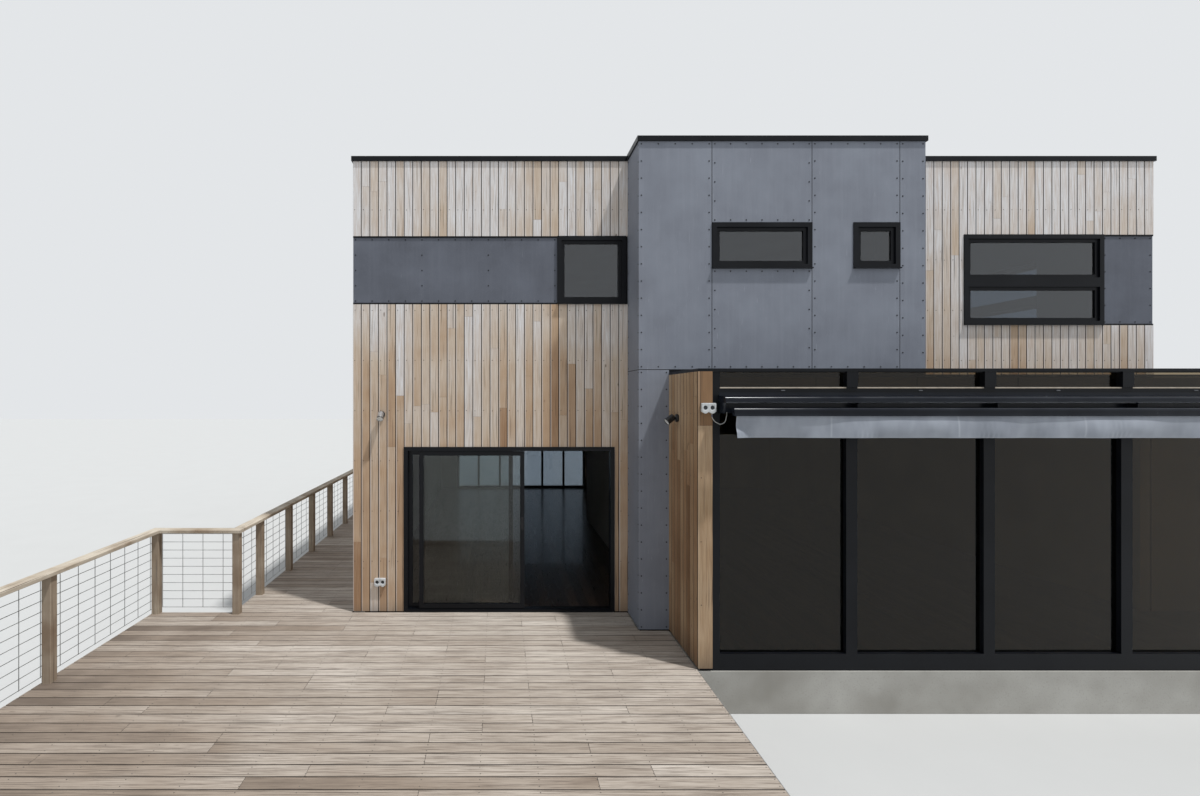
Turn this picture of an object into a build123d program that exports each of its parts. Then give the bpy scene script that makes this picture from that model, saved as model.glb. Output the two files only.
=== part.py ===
from build123d import *
from math import radians, tan
import os

# Beach house: a two-storey timber block with a projecting grey box, a glazed pavilion in
# front of it, and a raised deck that runs on along the left side.
# X runs along the front and is 0 at the middle of the block, Y is 0 at the outer face of the
# front boards and grows into the house, and Z is 0 at the ground. All sizes in millimetres.

# Block
BLOCK_WIDTH = 10330
BLOCK_DEPTH = 10600
CORE_T = 125
CLADDING_T = 25
PANEL_T = 12
PANEL_GAP = 8

# Heights above the finished floor, which is flush with the deck
FLOOR_HEIGHT = 450
FLOOR_BOARD_T = 20
GROUND_CEILING = 2800
UPPER_FLOOR_T = 300
UPPER_CEILING = 2400
ROOF_T = 200
WALL_TOP = 5815
CAP_T = 62
CAP_OVERHANG = 20
JOINT = 2
FLASHING_H = 20
FLASHING_SETBACK = 3

# Grey box
BOX_LEFT = -1620
BOX_COLUMNS = (870, 1190, 1045, 305)
BOX_PROJECTION = 600
BOX_STOREY_JOINT = 3100
BOX_WINDOW_SILL = 4300
BOX_WINDOW_HEIGHT = 550
BOX_SMALL_WINDOW_WIDTH = 555

# Grey band of the left, rear and west faces, and of the right and east faces
BAND_SILL = 3970
BAND_HEIGHT = 880
BAND_WINDOW_WIDTH = 890
BAND_WINDOW_REVEAL = 20
EAST_BAND_SILL = 3700
EAST_BAND_HEIGHT = 1170
EAST_WINDOW_WIDTH = 1805
EAST_WINDOW_FROM_CORNER = 645
BAND_PANEL_WIDTH = 2650
SIDE_WINDOW_SETBACK = 1500

# Windows
WINDOW_FRAME_W = 55
WINDOW_FRAME_DEPTH = 110
WINDOW_PROUD = 12
SASH_W = 42
SASH_DEPTH = 45
SASH_SETBACK = 24
GLASS_T = 8
TRANSOM_DROP = 500
TRANSOM_H = 120
SILL_T = 12
SILL_PROUD = 30

# Sliding door
DOOR_FROM_CORNER = 655
DOOR_FROM_BOX = 170
DOOR_HEIGHT = 2120
DOOR_SILL = 10
DOOR_FRAME_W = 52
DOOR_SILL_H = 25
DOOR_FRAME_DEPTH = 130
DOOR_OVERLAP = 100
DOOR_PANEL_T = 40
DOOR_STILE_W = 55
DOOR_OPEN_LEFT = 147
DOOR_CLEARANCE = 6
TRACK_W = 6
TRACK_H = 8
ROLLER_R = 16
ROLLER_W = 8
ROLLER_INSET = 200
ROLLER_ROOM = 2
CHEEK_ROOM = 1
RUNNING_GAP = 0.3
LATCH_HEIGHT = 1060
LATCH_W = 32
LATCH_H = 160
LATCH_T = 6
GRIP_W = 14
GRIP_T = 9
GRIP_INSET = 18

# Rear glazing
REAR_FROM_CORNER = 645
REAR_BAY = 650
REAR_BAYS = 6
REAR_HEAD = 2400
REAR_MULLION_W = 60

# Pavilion
PAVILION_LEFT = -1262
PAVILION_FRONT = -1620
PAVILION_TOP = 3065
PAVILION_CAP_T = 30
PAVILION_ROOF_T = 200
PAVILION_CEILING = 2780
BAYS = 5
BAY = 1405
MULLION_W = 115
MULLION_COVER_T = 16
JAMB_W = 80
FRAME_DEPTH = 110
FRAME_SETBACK = 20
BOTTOM_RAIL_Z = 20
BOTTOM_RAIL_H = 130
TRANSOM_Z = 2780
TRANSOM_RAIL_H = 95
TOP_RAIL_H = 8
PANE_T = 10
BEAM_H = 200

# Hall wall seen through the door
HALL_WALL_T = 100
HALL_WALL_END = 5900

# Awning, folded in. Depths are counted forward from the face of the glazed frame.
HOOD_TOP = 2820
HOOD_FLANGE = 25
HOOD_FALL = 18
HOOD_NOSE_H = 52
HOOD_NOSE_R = 30
HOOD_DEPTH = 200
HOOD_T = 3
HOOD_LIP = 14
HOOD_END_GAP = 64
CHEEK_T = 8
CHEEK_LOW = 2610
CHEEK_LOW_DEPTH = 150
CHEEK_R = 35
BRACKET_T = 12
BRACKET_DEPTH = 110
BRACKET_LOW = 2606
BRACKET_R = 8
CRADLE_BITE = 4
TORSION_BAR = 40
TORSION_Z = 2640
ROLL_R = 34
ROLL_OUT = 75
ROLL_CLEARANCE = 6
MOTOR_HEAD = 82
MOTOR_HEAD_OUT = (18, 62)
MOTOR_HEAD_LOW = 2635
MOTOR_HEAD_H = 60
ARM_INSET = 300
ARM_LENGTH = 1500
ARM_W = 36
ARM_GAP = 4
ARM_EASE = 4
FORK_T = 6
FORK_REACH = 80
CLAMP_T = 8
CLAMP_W = 56
PIN_R = 8
PIN_HEAD = 4
WRIST_OFFSET = 60
WRIST_PLATE_T = 3
BAR_H = 80
BAR_DEPTH = 60
BAR_Z = 2587
BAR_FRONT = 265
BAR_NOSE_R = 24
BAR_RECESS = 6
BAR_RIB_H = 18
BAR_FACE_H = 32
BAR_END_GAP = 127
BAR_CAP_T = 5
CLOTH_SLOT_W = 5
CLOTH_SLOT_DEPTH = 10
VALANCE_H = 215
VALANCE_T = 4
VALANCE_SETBACK = 20
VALANCE_END_GAP = 26
LEAD_R = 4
LEAD_SIDES = 8
LEAD_DROP = 40
LEAD_INLET = 64
LEAD_BENDS = ((-1100, 2525), (-1040, 2492), (-991, 2520))
BEND_SHARE = 0.45

# Deck
DECK_LEFT = -7730
DECK_FRONT = -3750
DECK_BOARD_T = 28
DECK_GAP = 10
BOARD_GAP = 5
WALKWAY_LEFT = -6700
WALKWAY_LENGTH = 6600
JOIST_W = 45
JOIST_H = 140
JOIST_PITCH = 450
BEARER_W = 90
BEARER_H = 140
BEARER_PITCH = 1550
LEDGER_T = 45
STUMP = 100
STUMP_PITCH = 1450
TRIM_T = 5

# Balustrade
POST = 90
POST_EASE = 4
DECK_POST_PITCH = 1850
WALK_POST_PITCH = 1200
FIRST_WALK_POST = 650
POST_INSET = 15
RAIL_TOP = 1080
RAIL_W = 140
RAIL_T = 42
RAIL_EASE = 5
WIRE = 5
WIRE_PITCH_Z = 105
WIRE_PITCH_X = 260
MESH_LIFT = 60

# Small fittings
LIGHT_FROM_CORNER = 370
LIGHT_Z = 2548
SPOT_Y = -955
SPOT_Z = 2537
SPOT_BASE_R = 45
SPOT_BASE_T = 26
SPOT_STEM_R = 9
SPOT_REACH = 72
SPOT_LEAN = 22
SPOT_R = 38
SPOT_LENGTH = 96
SPOT_RIM_R = 42
SPOT_RIM_T = 16
LENS_DEPTH = 6
OUTLET_FROM_CORNER = 354
OUTLET_Z = 397
CORNER_OUTLET_X = -1163
CORNER_OUTLET_Z = 2667
OUTLET_W = 144
OUTLET_H = 92
OUTLET_DEPTH = 46
OUTLET_R = 10
SOCKET_R = 22
SOCKET_DEPTH = 14
LOBE_R = 30

# Places that follow from the sizes
HALF = BLOCK_WIDTH / 2
WALL_T = CORE_T + CLADDING_T
REAR = BLOCK_DEPTH
SLAB_TOP = -FLOOR_BOARD_T
BOX_WIDTH = sum(BOX_COLUMNS)
BOX_JOINTS = [sum(BOX_COLUMNS[:count]) for count in (1, 2, 3)]
BOX_RIGHT = BOX_LEFT + BOX_WIDTH
BOX_FRONT = -BOX_PROJECTION
DOOR_LEFT = -HALF + DOOR_FROM_CORNER
DOOR_RIGHT = BOX_LEFT - DOOR_FROM_BOX
UPPER_FLOOR = GROUND_CEILING + UPPER_FLOOR_T
ROOF_BASE = UPPER_FLOOR + UPPER_CEILING
FRAME_LEFT = PAVILION_LEFT + WALL_T
FRAME_WIDTH = 2 * JAMB_W + BAYS * BAY - MULLION_W
FRAME_RIGHT = FRAME_LEFT + FRAME_WIDTH
PAVILION_RIGHT = FRAME_RIGHT + WALL_T
FRAME_FRONT = PAVILION_FRONT + FRAME_SETBACK
FRAME_BACK = FRAME_FRONT + FRAME_DEPTH
PAVILION_WALL_TOP = PAVILION_TOP - PAVILION_CAP_T
PAVILION_BACK = WALL_T + CLADDING_T


def bar(x0, x1, y0, y1, z0, z1):
    # A box between two corners, its heights counted from the floor.
    size = Box(x1 - x0, y1 - y0, z1 - z0, align=(Align.MIN, Align.MIN, Align.MIN))
    return Pos(x0, y0, FLOOR_HEIGHT + z0) * size


def outline(*points):
    return make_face(Polyline(*points, close=True))


def plate(points, z0, z1):
    # A flat plate with the given outline, its heights counted from the floor.
    return Pos(0, 0, FLOOR_HEIGHT + z0) * extrude(outline(*points), z1 - z0)


def rounded(flat, corner, radius):
    # Rounds the corner of a flat outline that lies at the given point.
    return fillet(flat.vertices().sort_by_distance(corner)[0], radius)


def eased(solid, axis, size):
    # Takes the sharp corner off every edge that runs along one axis.
    return chamfer(solid.edges().filter_by(axis), size)


class WallFace:
    # An outside face of the house, measured along it from its left end as seen from outside.
    def __init__(self, origin, along, outward):
        self.plane = Plane(origin=origin, x_dir=along, z_dir=outward)

    def slab(self, u0, u1, z0, z1, near, far):
        # A box on the face, from near to far millimetres behind it.
        size = Box(u1 - u0, z1 - z0, far - near, align=(Align.MIN, Align.MIN, Align.MIN))
        return self.plane * (Pos(u0, FLOOR_HEIGHT + z0, -far) * size)

    def ring(self, hole, width, near, far):
        # A frame of one width inside an opening.
        u0, u1, z0, z1 = hole
        outside = self.slab(u0, u1, z0, z1, near, far)
        inside = self.slab(u0 + width, u1 - width, z0 + width, z1 - width, near, far)
        return outside - inside


FRONT = WallFace((0, 0, 0), (1, 0, 0), (0, -1, 0))
BOX_FACE = WallFace((0, BOX_FRONT, 0), (1, 0, 0), (0, -1, 0))
BOX_LEFT_FACE = WallFace((BOX_LEFT, 0, 0), (0, -1, 0), (-1, 0, 0))
BOX_RIGHT_FACE = WallFace((BOX_RIGHT, 0, 0), (0, 1, 0), (1, 0, 0))
WEST = WallFace((-HALF, 0, 0), (0, -1, 0), (-1, 0, 0))
EAST = WallFace((HALF, 0, 0), (0, 1, 0), (1, 0, 0))
BACK = WallFace((0, REAR, 0), (-1, 0, 0), (0, 1, 0))
PAVILION_FACE = WallFace((0, PAVILION_FRONT, 0), (1, 0, 0), (0, -1, 0))

# Openings as left, right, sill and head along their face
BAND = (BAND_SILL, BAND_SILL + BAND_HEIGHT)
EAST_BAND = (EAST_BAND_SILL, EAST_BAND_SILL + EAST_BAND_HEIGHT)
BOX_HEAD = BOX_WINDOW_SILL + BOX_WINDOW_HEIGHT
DOOR = (DOOR_LEFT, DOOR_RIGHT, DOOR_SILL, DOOR_SILL + DOOR_HEIGHT)
BAND_WINDOW_RIGHT = BOX_LEFT - BAND_WINDOW_REVEAL
BAND_WINDOW = (BAND_WINDOW_RIGHT - BAND_WINDOW_WIDTH, BAND_WINDOW_RIGHT, *BAND)
BOX_WINDOW = (BOX_LEFT + BOX_JOINTS[0], BOX_LEFT + BOX_JOINTS[1], BOX_WINDOW_SILL, BOX_HEAD)
SMALL_RIGHT = BOX_LEFT + BOX_JOINTS[2]
SMALL_WINDOW = (SMALL_RIGHT - BOX_SMALL_WINDOW_WIDTH, SMALL_RIGHT, BOX_WINDOW_SILL, BOX_HEAD)
EAST_WINDOW_RIGHT = HALF - EAST_WINDOW_FROM_CORNER
EAST_FRONT_WINDOW = (EAST_WINDOW_RIGHT - EAST_WINDOW_WIDTH, EAST_WINDOW_RIGHT, *EAST_BAND)
REAR_DOORS_END = HALF - REAR_FROM_CORNER
REAR_DOORS = (REAR_DOORS_END - REAR_BAYS * REAR_BAY, REAR_DOORS_END, 0, REAR_HEAD)


def side_windows(start, end, width, band):
    # Two equal windows in a band, set back by the same distance from both corners.
    first = start + SIDE_WINDOW_SETBACK
    last = end - SIDE_WINDOW_SETBACK - width
    return [(first, first + width, *band), (last, last + width, *band)]


BOX_HOLES = [BOX_WINDOW, SMALL_WINDOW]
WEST_HOLES = side_windows(-REAR, 0, BAND_WINDOW_WIDTH, BAND)
EAST_HOLES = side_windows(0, REAR, EAST_WINDOW_WIDTH, EAST_BAND)
BACK_HOLES = side_windows(-HALF, HALF, EAST_WINDOW_WIDTH, BAND) + [REAR_DOORS]
WINDOWS = [
    (FRONT, BAND_WINDOW),
    (FRONT, EAST_FRONT_WINDOW),
    (BOX_FACE, BOX_WINDOW),
    (BOX_FACE, SMALL_WINDOW),
    *[(WEST, hole) for hole in WEST_HOLES],
    *[(EAST, hole) for hole in EAST_HOLES],
    *[(BACK, hole) for hole in BACK_HOLES[:2]],
]


def cut(face, solid, holes, near, far):
    for u0, u1, z0, z1 in holes:
        solid = solid - face.slab(u0, u1, z0, z1, near, far)
    return solid


def wall_core(face, u0, u1, z0, z1, holes=()):
    core = face.slab(u0, u1, z0, z1, CLADDING_T, WALL_T)
    return cut(face, core, holes, CLADDING_T, WALL_T)


def boards(face, u0, u1, z0, z1, holes=()):
    # One skin of upright boards, which starts level with its wall.
    skin = face.slab(u0, u1, z0, z1, 0, CLADDING_T)
    return cut(face, skin, holes, 0, CLADDING_T)


def band_panels(face, u0, u1, band, holes):
    # Flat sheets in a row along a band, cut to clear each window by a joint.
    near = CLADDING_T - PANEL_T
    count = max(1, round((u1 - u0) / BAND_PANEL_WIDTH))
    width = (u1 - u0) / count
    panels = []
    for i in range(count):
        left = u0 + i * width + (PANEL_GAP / 2 if i else 0)
        right = u0 + (i + 1) * width - (PANEL_GAP / 2 if i < count - 1 else 0)
        panel = face.slab(left, right, *band, near, CLADDING_T)
        panels += cut(face, panel, holes, near, CLADDING_T).solids()
    return panels


def band_flashings(face, u0, u1, band, holes):
    # A folded strip over the foot and the head of a band's sheets.
    far = CLADDING_T - PANEL_T
    strips = []
    for z in (band[0], band[1] - FLASHING_H):
        strip = face.slab(u0, u1, z, z + FLASHING_H, FLASHING_SETBACK, far)
        strips += cut(face, strip, holes, FLASHING_SETBACK, far).solids()
    return strips


# Ground works and floors
def house_outline():
    # The block and the pavilion together, from outside.
    return [
        (-HALF, 0),
        (PAVILION_LEFT, 0),
        (PAVILION_LEFT, PAVILION_FRONT),
        (PAVILION_RIGHT, PAVILION_FRONT),
        (PAVILION_RIGHT, PAVILION_BACK),
        (HALF, PAVILION_BACK),
        (HALF, REAR),
        (-HALF, REAR),
    ]


def floor_slab():
    slab = plate(house_outline(), -FLOOR_HEIGHT, SLAB_TOP)
    nib = bar(BOX_LEFT, PAVILION_LEFT, BOX_FRONT, 0, -FLOOR_HEIGHT, SLAB_TOP)
    return slab + nib


def timber_floor():
    return plate(
        [
            (-HALF + WALL_T, WALL_T),
            (FRAME_LEFT, WALL_T),
            (FRAME_LEFT, FRAME_BACK),
            (FRAME_RIGHT, FRAME_BACK),
            (FRAME_RIGHT, CLADDING_T),
            (HALF - WALL_T, CLADDING_T),
            (HALF - WALL_T, REAR - WALL_T),
            (-HALF + WALL_T, REAR - WALL_T),
        ],
        SLAB_TOP,
        0,
    )


def upper_outline():
    # The inner faces of the upper storey's walls, with the bay behind the grey box.
    left = BOX_LEFT + PANEL_T + CORE_T
    right = BOX_RIGHT - PANEL_T - CORE_T
    front = BOX_FRONT + PANEL_T + CORE_T
    return [
        (-HALF + WALL_T, WALL_T),
        (left, WALL_T),
        (left, front),
        (right, front),
        (right, WALL_T),
        (HALF - WALL_T, WALL_T),
        (HALF - WALL_T, REAR - WALL_T),
        (-HALF + WALL_T, REAR - WALL_T),
    ]


# Walls of the block
def front_wall_beside_door():
    left = wall_core(FRONT, -HALF + WALL_T, DOOR[0], SLAB_TOP, DOOR[3])
    right = wall_core(FRONT, DOOR[1], BOX_LEFT + PANEL_T, SLAB_TOP, DOOR[3])
    return [left, right]


def front_wall_over_door():
    return wall_core(
        FRONT, -HALF + WALL_T, BOX_LEFT + PANEL_T, DOOR[3], WALL_TOP, [BAND_WINDOW]
    )


def front_wall_right():
    u0, u1 = BOX_RIGHT - PANEL_T, HALF - WALL_T
    return wall_core(FRONT, u0, u1, GROUND_CEILING, WALL_TOP, [EAST_FRONT_WINDOW])


def west_wall():
    return wall_core(WEST, -REAR + CLADDING_T, -CLADDING_T, SLAB_TOP, WALL_TOP, WEST_HOLES)


def east_wall():
    return wall_core(EAST, CLADDING_T, REAR - CLADDING_T, SLAB_TOP, WALL_TOP, EAST_HOLES)


def back_wall():
    return wall_core(BACK, -HALF + WALL_T, HALF - WALL_T, SLAB_TOP, WALL_TOP, BACK_HOLES)


def hall_wall():
    return bar(
        PAVILION_LEFT,
        PAVILION_LEFT + HALL_WALL_T,
        WALL_T,
        HALL_WALL_END,
        0,
        GROUND_CEILING,
    )


# Grey box
def box_front_wall():
    wall = BOX_FACE.slab(
        BOX_LEFT + PANEL_T,
        BOX_RIGHT - PANEL_T,
        GROUND_CEILING,
        WALL_TOP,
        PANEL_T,
        PANEL_T + CORE_T,
    )
    return cut(BOX_FACE, wall, BOX_HOLES, PANEL_T, PANEL_T + CORE_T)


def box_side_walls():
    front = BOX_PROJECTION - PANEL_T - CORE_T
    left = BOX_LEFT_FACE.slab(-WALL_T, front, GROUND_CEILING, WALL_TOP, PANEL_T, PANEL_T + CORE_T)
    right = BOX_RIGHT_FACE.slab(
        -front, WALL_T, GROUND_CEILING, WALL_TOP, PANEL_T, PANEL_T + CORE_T
    )
    return [left, right]


def box_leg():
    # The corner of the box that comes down to the ground beside the pavilion.
    return bar(
        BOX_LEFT + PANEL_T, FRAME_LEFT, BOX_FRONT + PANEL_T, WALL_T, SLAB_TOP, GROUND_CEILING
    )


def living_beam():
    # Three beams that carry the box and the right wall over the open room.
    z0 = GROUND_CEILING - BEAM_H
    front = BOX_FRONT + PANEL_T
    side = BOX_RIGHT - PANEL_T - CORE_T
    under_box = bar(FRAME_LEFT, side + CORE_T, front, front + CORE_T, z0, GROUND_CEILING)
    under_side = bar(side, side + CORE_T, front + CORE_T + JOINT, WALL_T, z0, GROUND_CEILING)
    under_wall = bar(
        side + CORE_T + JOINT, HALF - WALL_T, CLADDING_T, WALL_T, z0, GROUND_CEILING
    )
    return [under_box, under_side, under_wall]


def box_panels():
    # Cement sheets with open joints: four columns and one storey joint on the front.
    gap = PANEL_GAP / 2
    edges = [0, *BOX_JOINTS, BOX_WIDTH]
    sheets = []
    for i in range(len(edges) - 1):
        left = BOX_LEFT + edges[i] + (gap if i else 0)
        right = BOX_LEFT + edges[i + 1] - (gap if i < len(edges) - 2 else 0)
        sheet = BOX_FACE.slab(left, right, BOX_STOREY_JOINT + gap, WALL_TOP, 0, PANEL_T)
        sheets += cut(BOX_FACE, sheet, BOX_HOLES, 0, PANEL_T).solids()
    low = BOX_STOREY_JOINT - gap
    sheets.append(BOX_FACE.slab(BOX_LEFT, PAVILION_LEFT, DOOR_SILL, low, 0, PANEL_T))
    for z0, z1 in ((DOOR_SILL, low), (BOX_STOREY_JOINT + gap, WALL_TOP)):
        reach = BOX_PROJECTION - PANEL_T
        sheets.append(BOX_LEFT_FACE.slab(-CLADDING_T, reach, z0, z1, 0, PANEL_T))
    right_edge = BOX_PROJECTION - PANEL_T
    sheets.append(
        BOX_RIGHT_FACE.slab(-right_edge, CLADDING_T, PAVILION_TOP, WALL_TOP, 0, PANEL_T)
    )
    return sheets


# Skins
def front_left_boards():
    below = boards(FRONT, -HALF, BOX_LEFT, DOOR_SILL, BAND[0], [DOOR])
    above = boards(FRONT, -HALF, BOX_LEFT, BAND[1], WALL_TOP)
    return [below, above]


def front_right_boards():
    skin = boards(FRONT, BOX_RIGHT, HALF, PAVILION_TOP, WALL_TOP, [EAST_FRONT_WINDOW])
    beside = FRONT.slab(EAST_FRONT_WINDOW[1], HALF, *EAST_BAND, 0, CLADDING_T)
    return [skin - beside]


def side_boards(face, u0, u1, band, holes):
    below = boards(face, u0, u1, DOOR_SILL, band[0], holes)
    above = boards(face, u0, u1, band[1], WALL_TOP)
    return [below, above]


def pavilion_boards():
    # The narrow front returns and both side walls of the pavilion.
    front = []
    for u0, u1 in ((PAVILION_LEFT, FRAME_LEFT), (FRAME_RIGHT, PAVILION_RIGHT)):
        front.append(boards(PAVILION_FACE, u0, u1, DOOR_SILL, PAVILION_WALL_TOP))
    y0 = PAVILION_FRONT + CLADDING_T
    left = bar(
        PAVILION_LEFT,
        PAVILION_LEFT + CLADDING_T,
        y0,
        BOX_FRONT,
        DOOR_SILL,
        PAVILION_WALL_TOP,
    )
    right = bar(
        PAVILION_RIGHT - CLADDING_T,
        PAVILION_RIGHT,
        y0,
        PAVILION_BACK,
        DOOR_SILL,
        PAVILION_WALL_TOP,
    )
    back = bar(
        HALF,
        PAVILION_RIGHT - CLADDING_T,
        WALL_T,
        PAVILION_BACK,
        DOOR_SILL,
        PAVILION_WALL_TOP,
    )
    return [front[0] + left, front[1] + right + back]


# Pavilion
def pavilion_side_walls():
    y0 = PAVILION_FRONT + CLADDING_T
    left = bar(
        PAVILION_LEFT + CLADDING_T, FRAME_LEFT, y0, BOX_FRONT, SLAB_TOP, PAVILION_WALL_TOP
    )
    right = bar(
        FRAME_RIGHT, PAVILION_RIGHT - CLADDING_T, y0, WALL_T, SLAB_TOP, PAVILION_WALL_TOP
    )
    return [left, right]


def pavilion_back_wall():
    return bar(HALF, FRAME_RIGHT, CLADDING_T, WALL_T, SLAB_TOP, PAVILION_WALL_TOP)


PAVILION_ROOF_TOP = PAVILION_CEILING + PAVILION_ROOF_T


def pavilion_roof():
    return plate(
        [
            (FRAME_LEFT, FRAME_BACK),
            (FRAME_RIGHT, FRAME_BACK),
            (FRAME_RIGHT, CLADDING_T),
            (BOX_RIGHT, CLADDING_T),
            (BOX_RIGHT, BOX_FRONT),
            (FRAME_LEFT, BOX_FRONT),
        ],
        PAVILION_CEILING,
        PAVILION_ROOF_TOP,
    )


def roof_aprons():
    # Upstands that close the walls' feet over the pavilion's roof.
    z0 = PAVILION_ROOF_TOP
    box_foot = BOX_STOREY_JOINT + PANEL_GAP / 2
    side = BOX_PROJECTION - PANEL_T
    return [
        BOX_FACE.slab(PAVILION_LEFT, BOX_RIGHT, z0, box_foot, 0, PANEL_T),
        BOX_RIGHT_FACE.slab(-side, CLADDING_T, z0, PAVILION_TOP, 0, PANEL_T),
        FRONT.slab(BOX_RIGHT, HALF, z0, PAVILION_TOP, 0, CLADDING_T),
    ]


def pavilion_cap():
    # A folded edge capping along the front and both sides.
    z0, z1 = PAVILION_WALL_TOP, PAVILION_TOP
    start = FRAME_BACK + JOINT
    front = bar(PAVILION_LEFT, PAVILION_RIGHT, PAVILION_FRONT, FRAME_BACK, z0, z1)
    left = bar(PAVILION_LEFT, FRAME_LEFT, start, BOX_FRONT, z0, z1)
    right = bar(FRAME_RIGHT, PAVILION_RIGHT, start, PAVILION_BACK, z0, z1)
    back = bar(HALF, FRAME_RIGHT - JOINT, CLADDING_T, PAVILION_BACK, z0, z1)
    return [front, left, right, back]


def pane_edges():
    left = FRAME_LEFT + JAMB_W
    return [(left + i * BAY, left + (i + 1) * BAY - MULLION_W) for i in range(BAYS)]


PANE_ROWS = (
    (BOTTOM_RAIL_Z + BOTTOM_RAIL_H, TRANSOM_Z),
    (TRANSOM_Z + TRANSOM_RAIL_H, PAVILION_WALL_TOP - TOP_RAIL_H),
)


def pavilion_frame():
    # Jambs, mullions and rails of the glazed front as one welded frame.
    frame = bar(
        FRAME_LEFT, FRAME_RIGHT, FRAME_FRONT, FRAME_BACK, SLAB_TOP, PAVILION_WALL_TOP
    )
    for x0, x1 in pane_edges():
        for z0, z1 in PANE_ROWS:
            frame = frame - bar(x0, x1, FRAME_FRONT, FRAME_BACK, z0, z1)
    # Each mullion has a proud cover beside the highlight panes.
    cover_foot = TRANSOM_Z + TRANSOM_RAIL_H
    for _, x in pane_edges()[:-1]:
        front = FRAME_FRONT - MULLION_COVER_T
        frame += bar(x, x + MULLION_W, front, FRAME_FRONT, cover_foot, PAVILION_WALL_TOP)
    return frame


def panes(row):
    y0 = FRAME_FRONT + (FRAME_DEPTH - PANE_T) / 2
    z0, z1 = PANE_ROWS[row]
    return [bar(x0, x1, y0, y0 + PANE_T, z0, z1) for x0, x1 in pane_edges()]


# Roof and capping
def roof_cap():
    # Straight lengths of capping over the walls, with an open joint at each meeting.
    out = CAP_OVERHANG
    inner = WALL_T + CAP_OVERHANG
    z0, z1 = WALL_TOP, WALL_TOP + CAP_T
    box_in = BOX_FRONT + inner
    lengths = [
        (-HALF - out, -HALF + inner, -out, REAR + out),
        (HALF - inner, HALF + out, -out, REAR + out),
        (-HALF + inner + JOINT, HALF - inner - JOINT, REAR - inner, REAR + out),
        (-HALF + inner + JOINT, BOX_LEFT - out - JOINT, -out, inner),
        (BOX_RIGHT + out + JOINT, HALF - inner - JOINT, -out, inner),
        (BOX_LEFT - out, BOX_RIGHT + out, BOX_FRONT - out, box_in),
        (BOX_LEFT - out, BOX_LEFT + inner, box_in + JOINT, inner),
        (BOX_RIGHT - inner, BOX_RIGHT + out, box_in + JOINT, inner),
    ]
    return [bar(*length, z0, z1) for length in lengths]


# Windows
def inner_hole(hole, by):
    u0, u1, z0, z1 = hole
    return (u0 + by, u1 - by, z0 + by, z1 - by)


def lights(hole):
    # The separate sashes of a window: two where it is tall enough for a transom.
    u0, u1, z0, z1 = inner_hole(hole, WINDOW_FRAME_W)
    if z1 - z0 < 2 * TRANSOM_DROP:
        return [(u0, u1, z0, z1)]
    head = z1 - TRANSOM_DROP
    return [(u0, u1, z0, head - TRANSOM_H), (u0, u1, head, z1)]


def window_frame(face, hole):
    u0, u1, z0, z1 = hole
    far = WINDOW_FRAME_DEPTH - WINDOW_PROUD
    frame = face.slab(u0, u1, z0, z1, -WINDOW_PROUD, far)
    for a, b, low, high in lights(hole):
        frame = frame - face.slab(a, b, low, high, -WINDOW_PROUD, far)
    sill = face.slab(u0, u1, z0, z0 + SILL_T, -WINDOW_PROUD - SILL_PROUD, -WINDOW_PROUD)
    return frame + sill


def window_sashes(face, hole):
    near = SASH_SETBACK - WINDOW_PROUD
    return [face.ring(light, SASH_W, near, near + SASH_DEPTH) for light in lights(hole)]


def window_panes(face, hole):
    near = SASH_SETBACK - WINDOW_PROUD + (SASH_DEPTH - GLASS_T) / 2
    glass = []
    for light in lights(hole):
        glass.append(face.slab(*inner_hole(light, SASH_W), near, near + GLASS_T))
    return glass


def rear_glazing_frame():
    u0, u1, z0, z1 = REAR_DOORS
    far = WINDOW_FRAME_DEPTH - WINDOW_PROUD
    frame = BACK.slab(u0, u1, z0, z1, -WINDOW_PROUD, far)
    for a, b in rear_bays():
        inside = BACK.slab(a, b, z0 + REAR_MULLION_W, z1 - REAR_MULLION_W, -WINDOW_PROUD, far)
        frame = frame - inside
    return frame


def rear_bays():
    half = REAR_MULLION_W / 2
    edges = [REAR_DOORS[0] + i * REAR_BAY for i in range(REAR_BAYS + 1)]
    bays = []
    for i in range(REAR_BAYS):
        left = edges[i] + (half if i else REAR_MULLION_W)
        right = edges[i + 1] - (half if i < REAR_BAYS - 1 else REAR_MULLION_W)
        bays.append((left, right))
    return bays


def rear_glass():
    near = (WINDOW_FRAME_DEPTH - GLASS_T) / 2 - WINDOW_PROUD
    z0, z1 = REAR_MULLION_W, REAR_HEAD - REAR_MULLION_W
    return [BACK.slab(a, b, z0, z1, near, near + GLASS_T) for a, b in rear_bays()]


# Sliding door
DOOR_NEAR = -WINDOW_PROUD
DOOR_FAR = DOOR_FRAME_DEPTH - WINDOW_PROUD
SLIDE_NEAR = DOOR_NEAR + (DOOR_FRAME_DEPTH / 2 - DOOR_PANEL_T) / 2
FIXED_NEAR = SLIDE_NEAR + DOOR_FRAME_DEPTH / 2
INSIDE_LEFT = DOOR[0] + DOOR_FRAME_W
INSIDE_RIGHT = DOOR[1] - DOOR_FRAME_W
DOOR_PANEL_WIDTH = (INSIDE_RIGHT - INSIDE_LEFT + DOOR_OVERLAP) / 2
INSIDE_SILL = DOOR[2] + DOOR_SILL_H
INSIDE_HEAD = DOOR[3] - DOOR_FRAME_W
SLIDE_LEFT = INSIDE_LEFT + DOOR_OPEN_LEFT
TRACK_TOP = INSIDE_SILL + TRACK_H
SLIDE_BOTTOM = INSIDE_SILL + TRACK_H + DOOR_CLEARANCE
SLIDE_TOP = INSIDE_HEAD - DOOR_CLEARANCE
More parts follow.
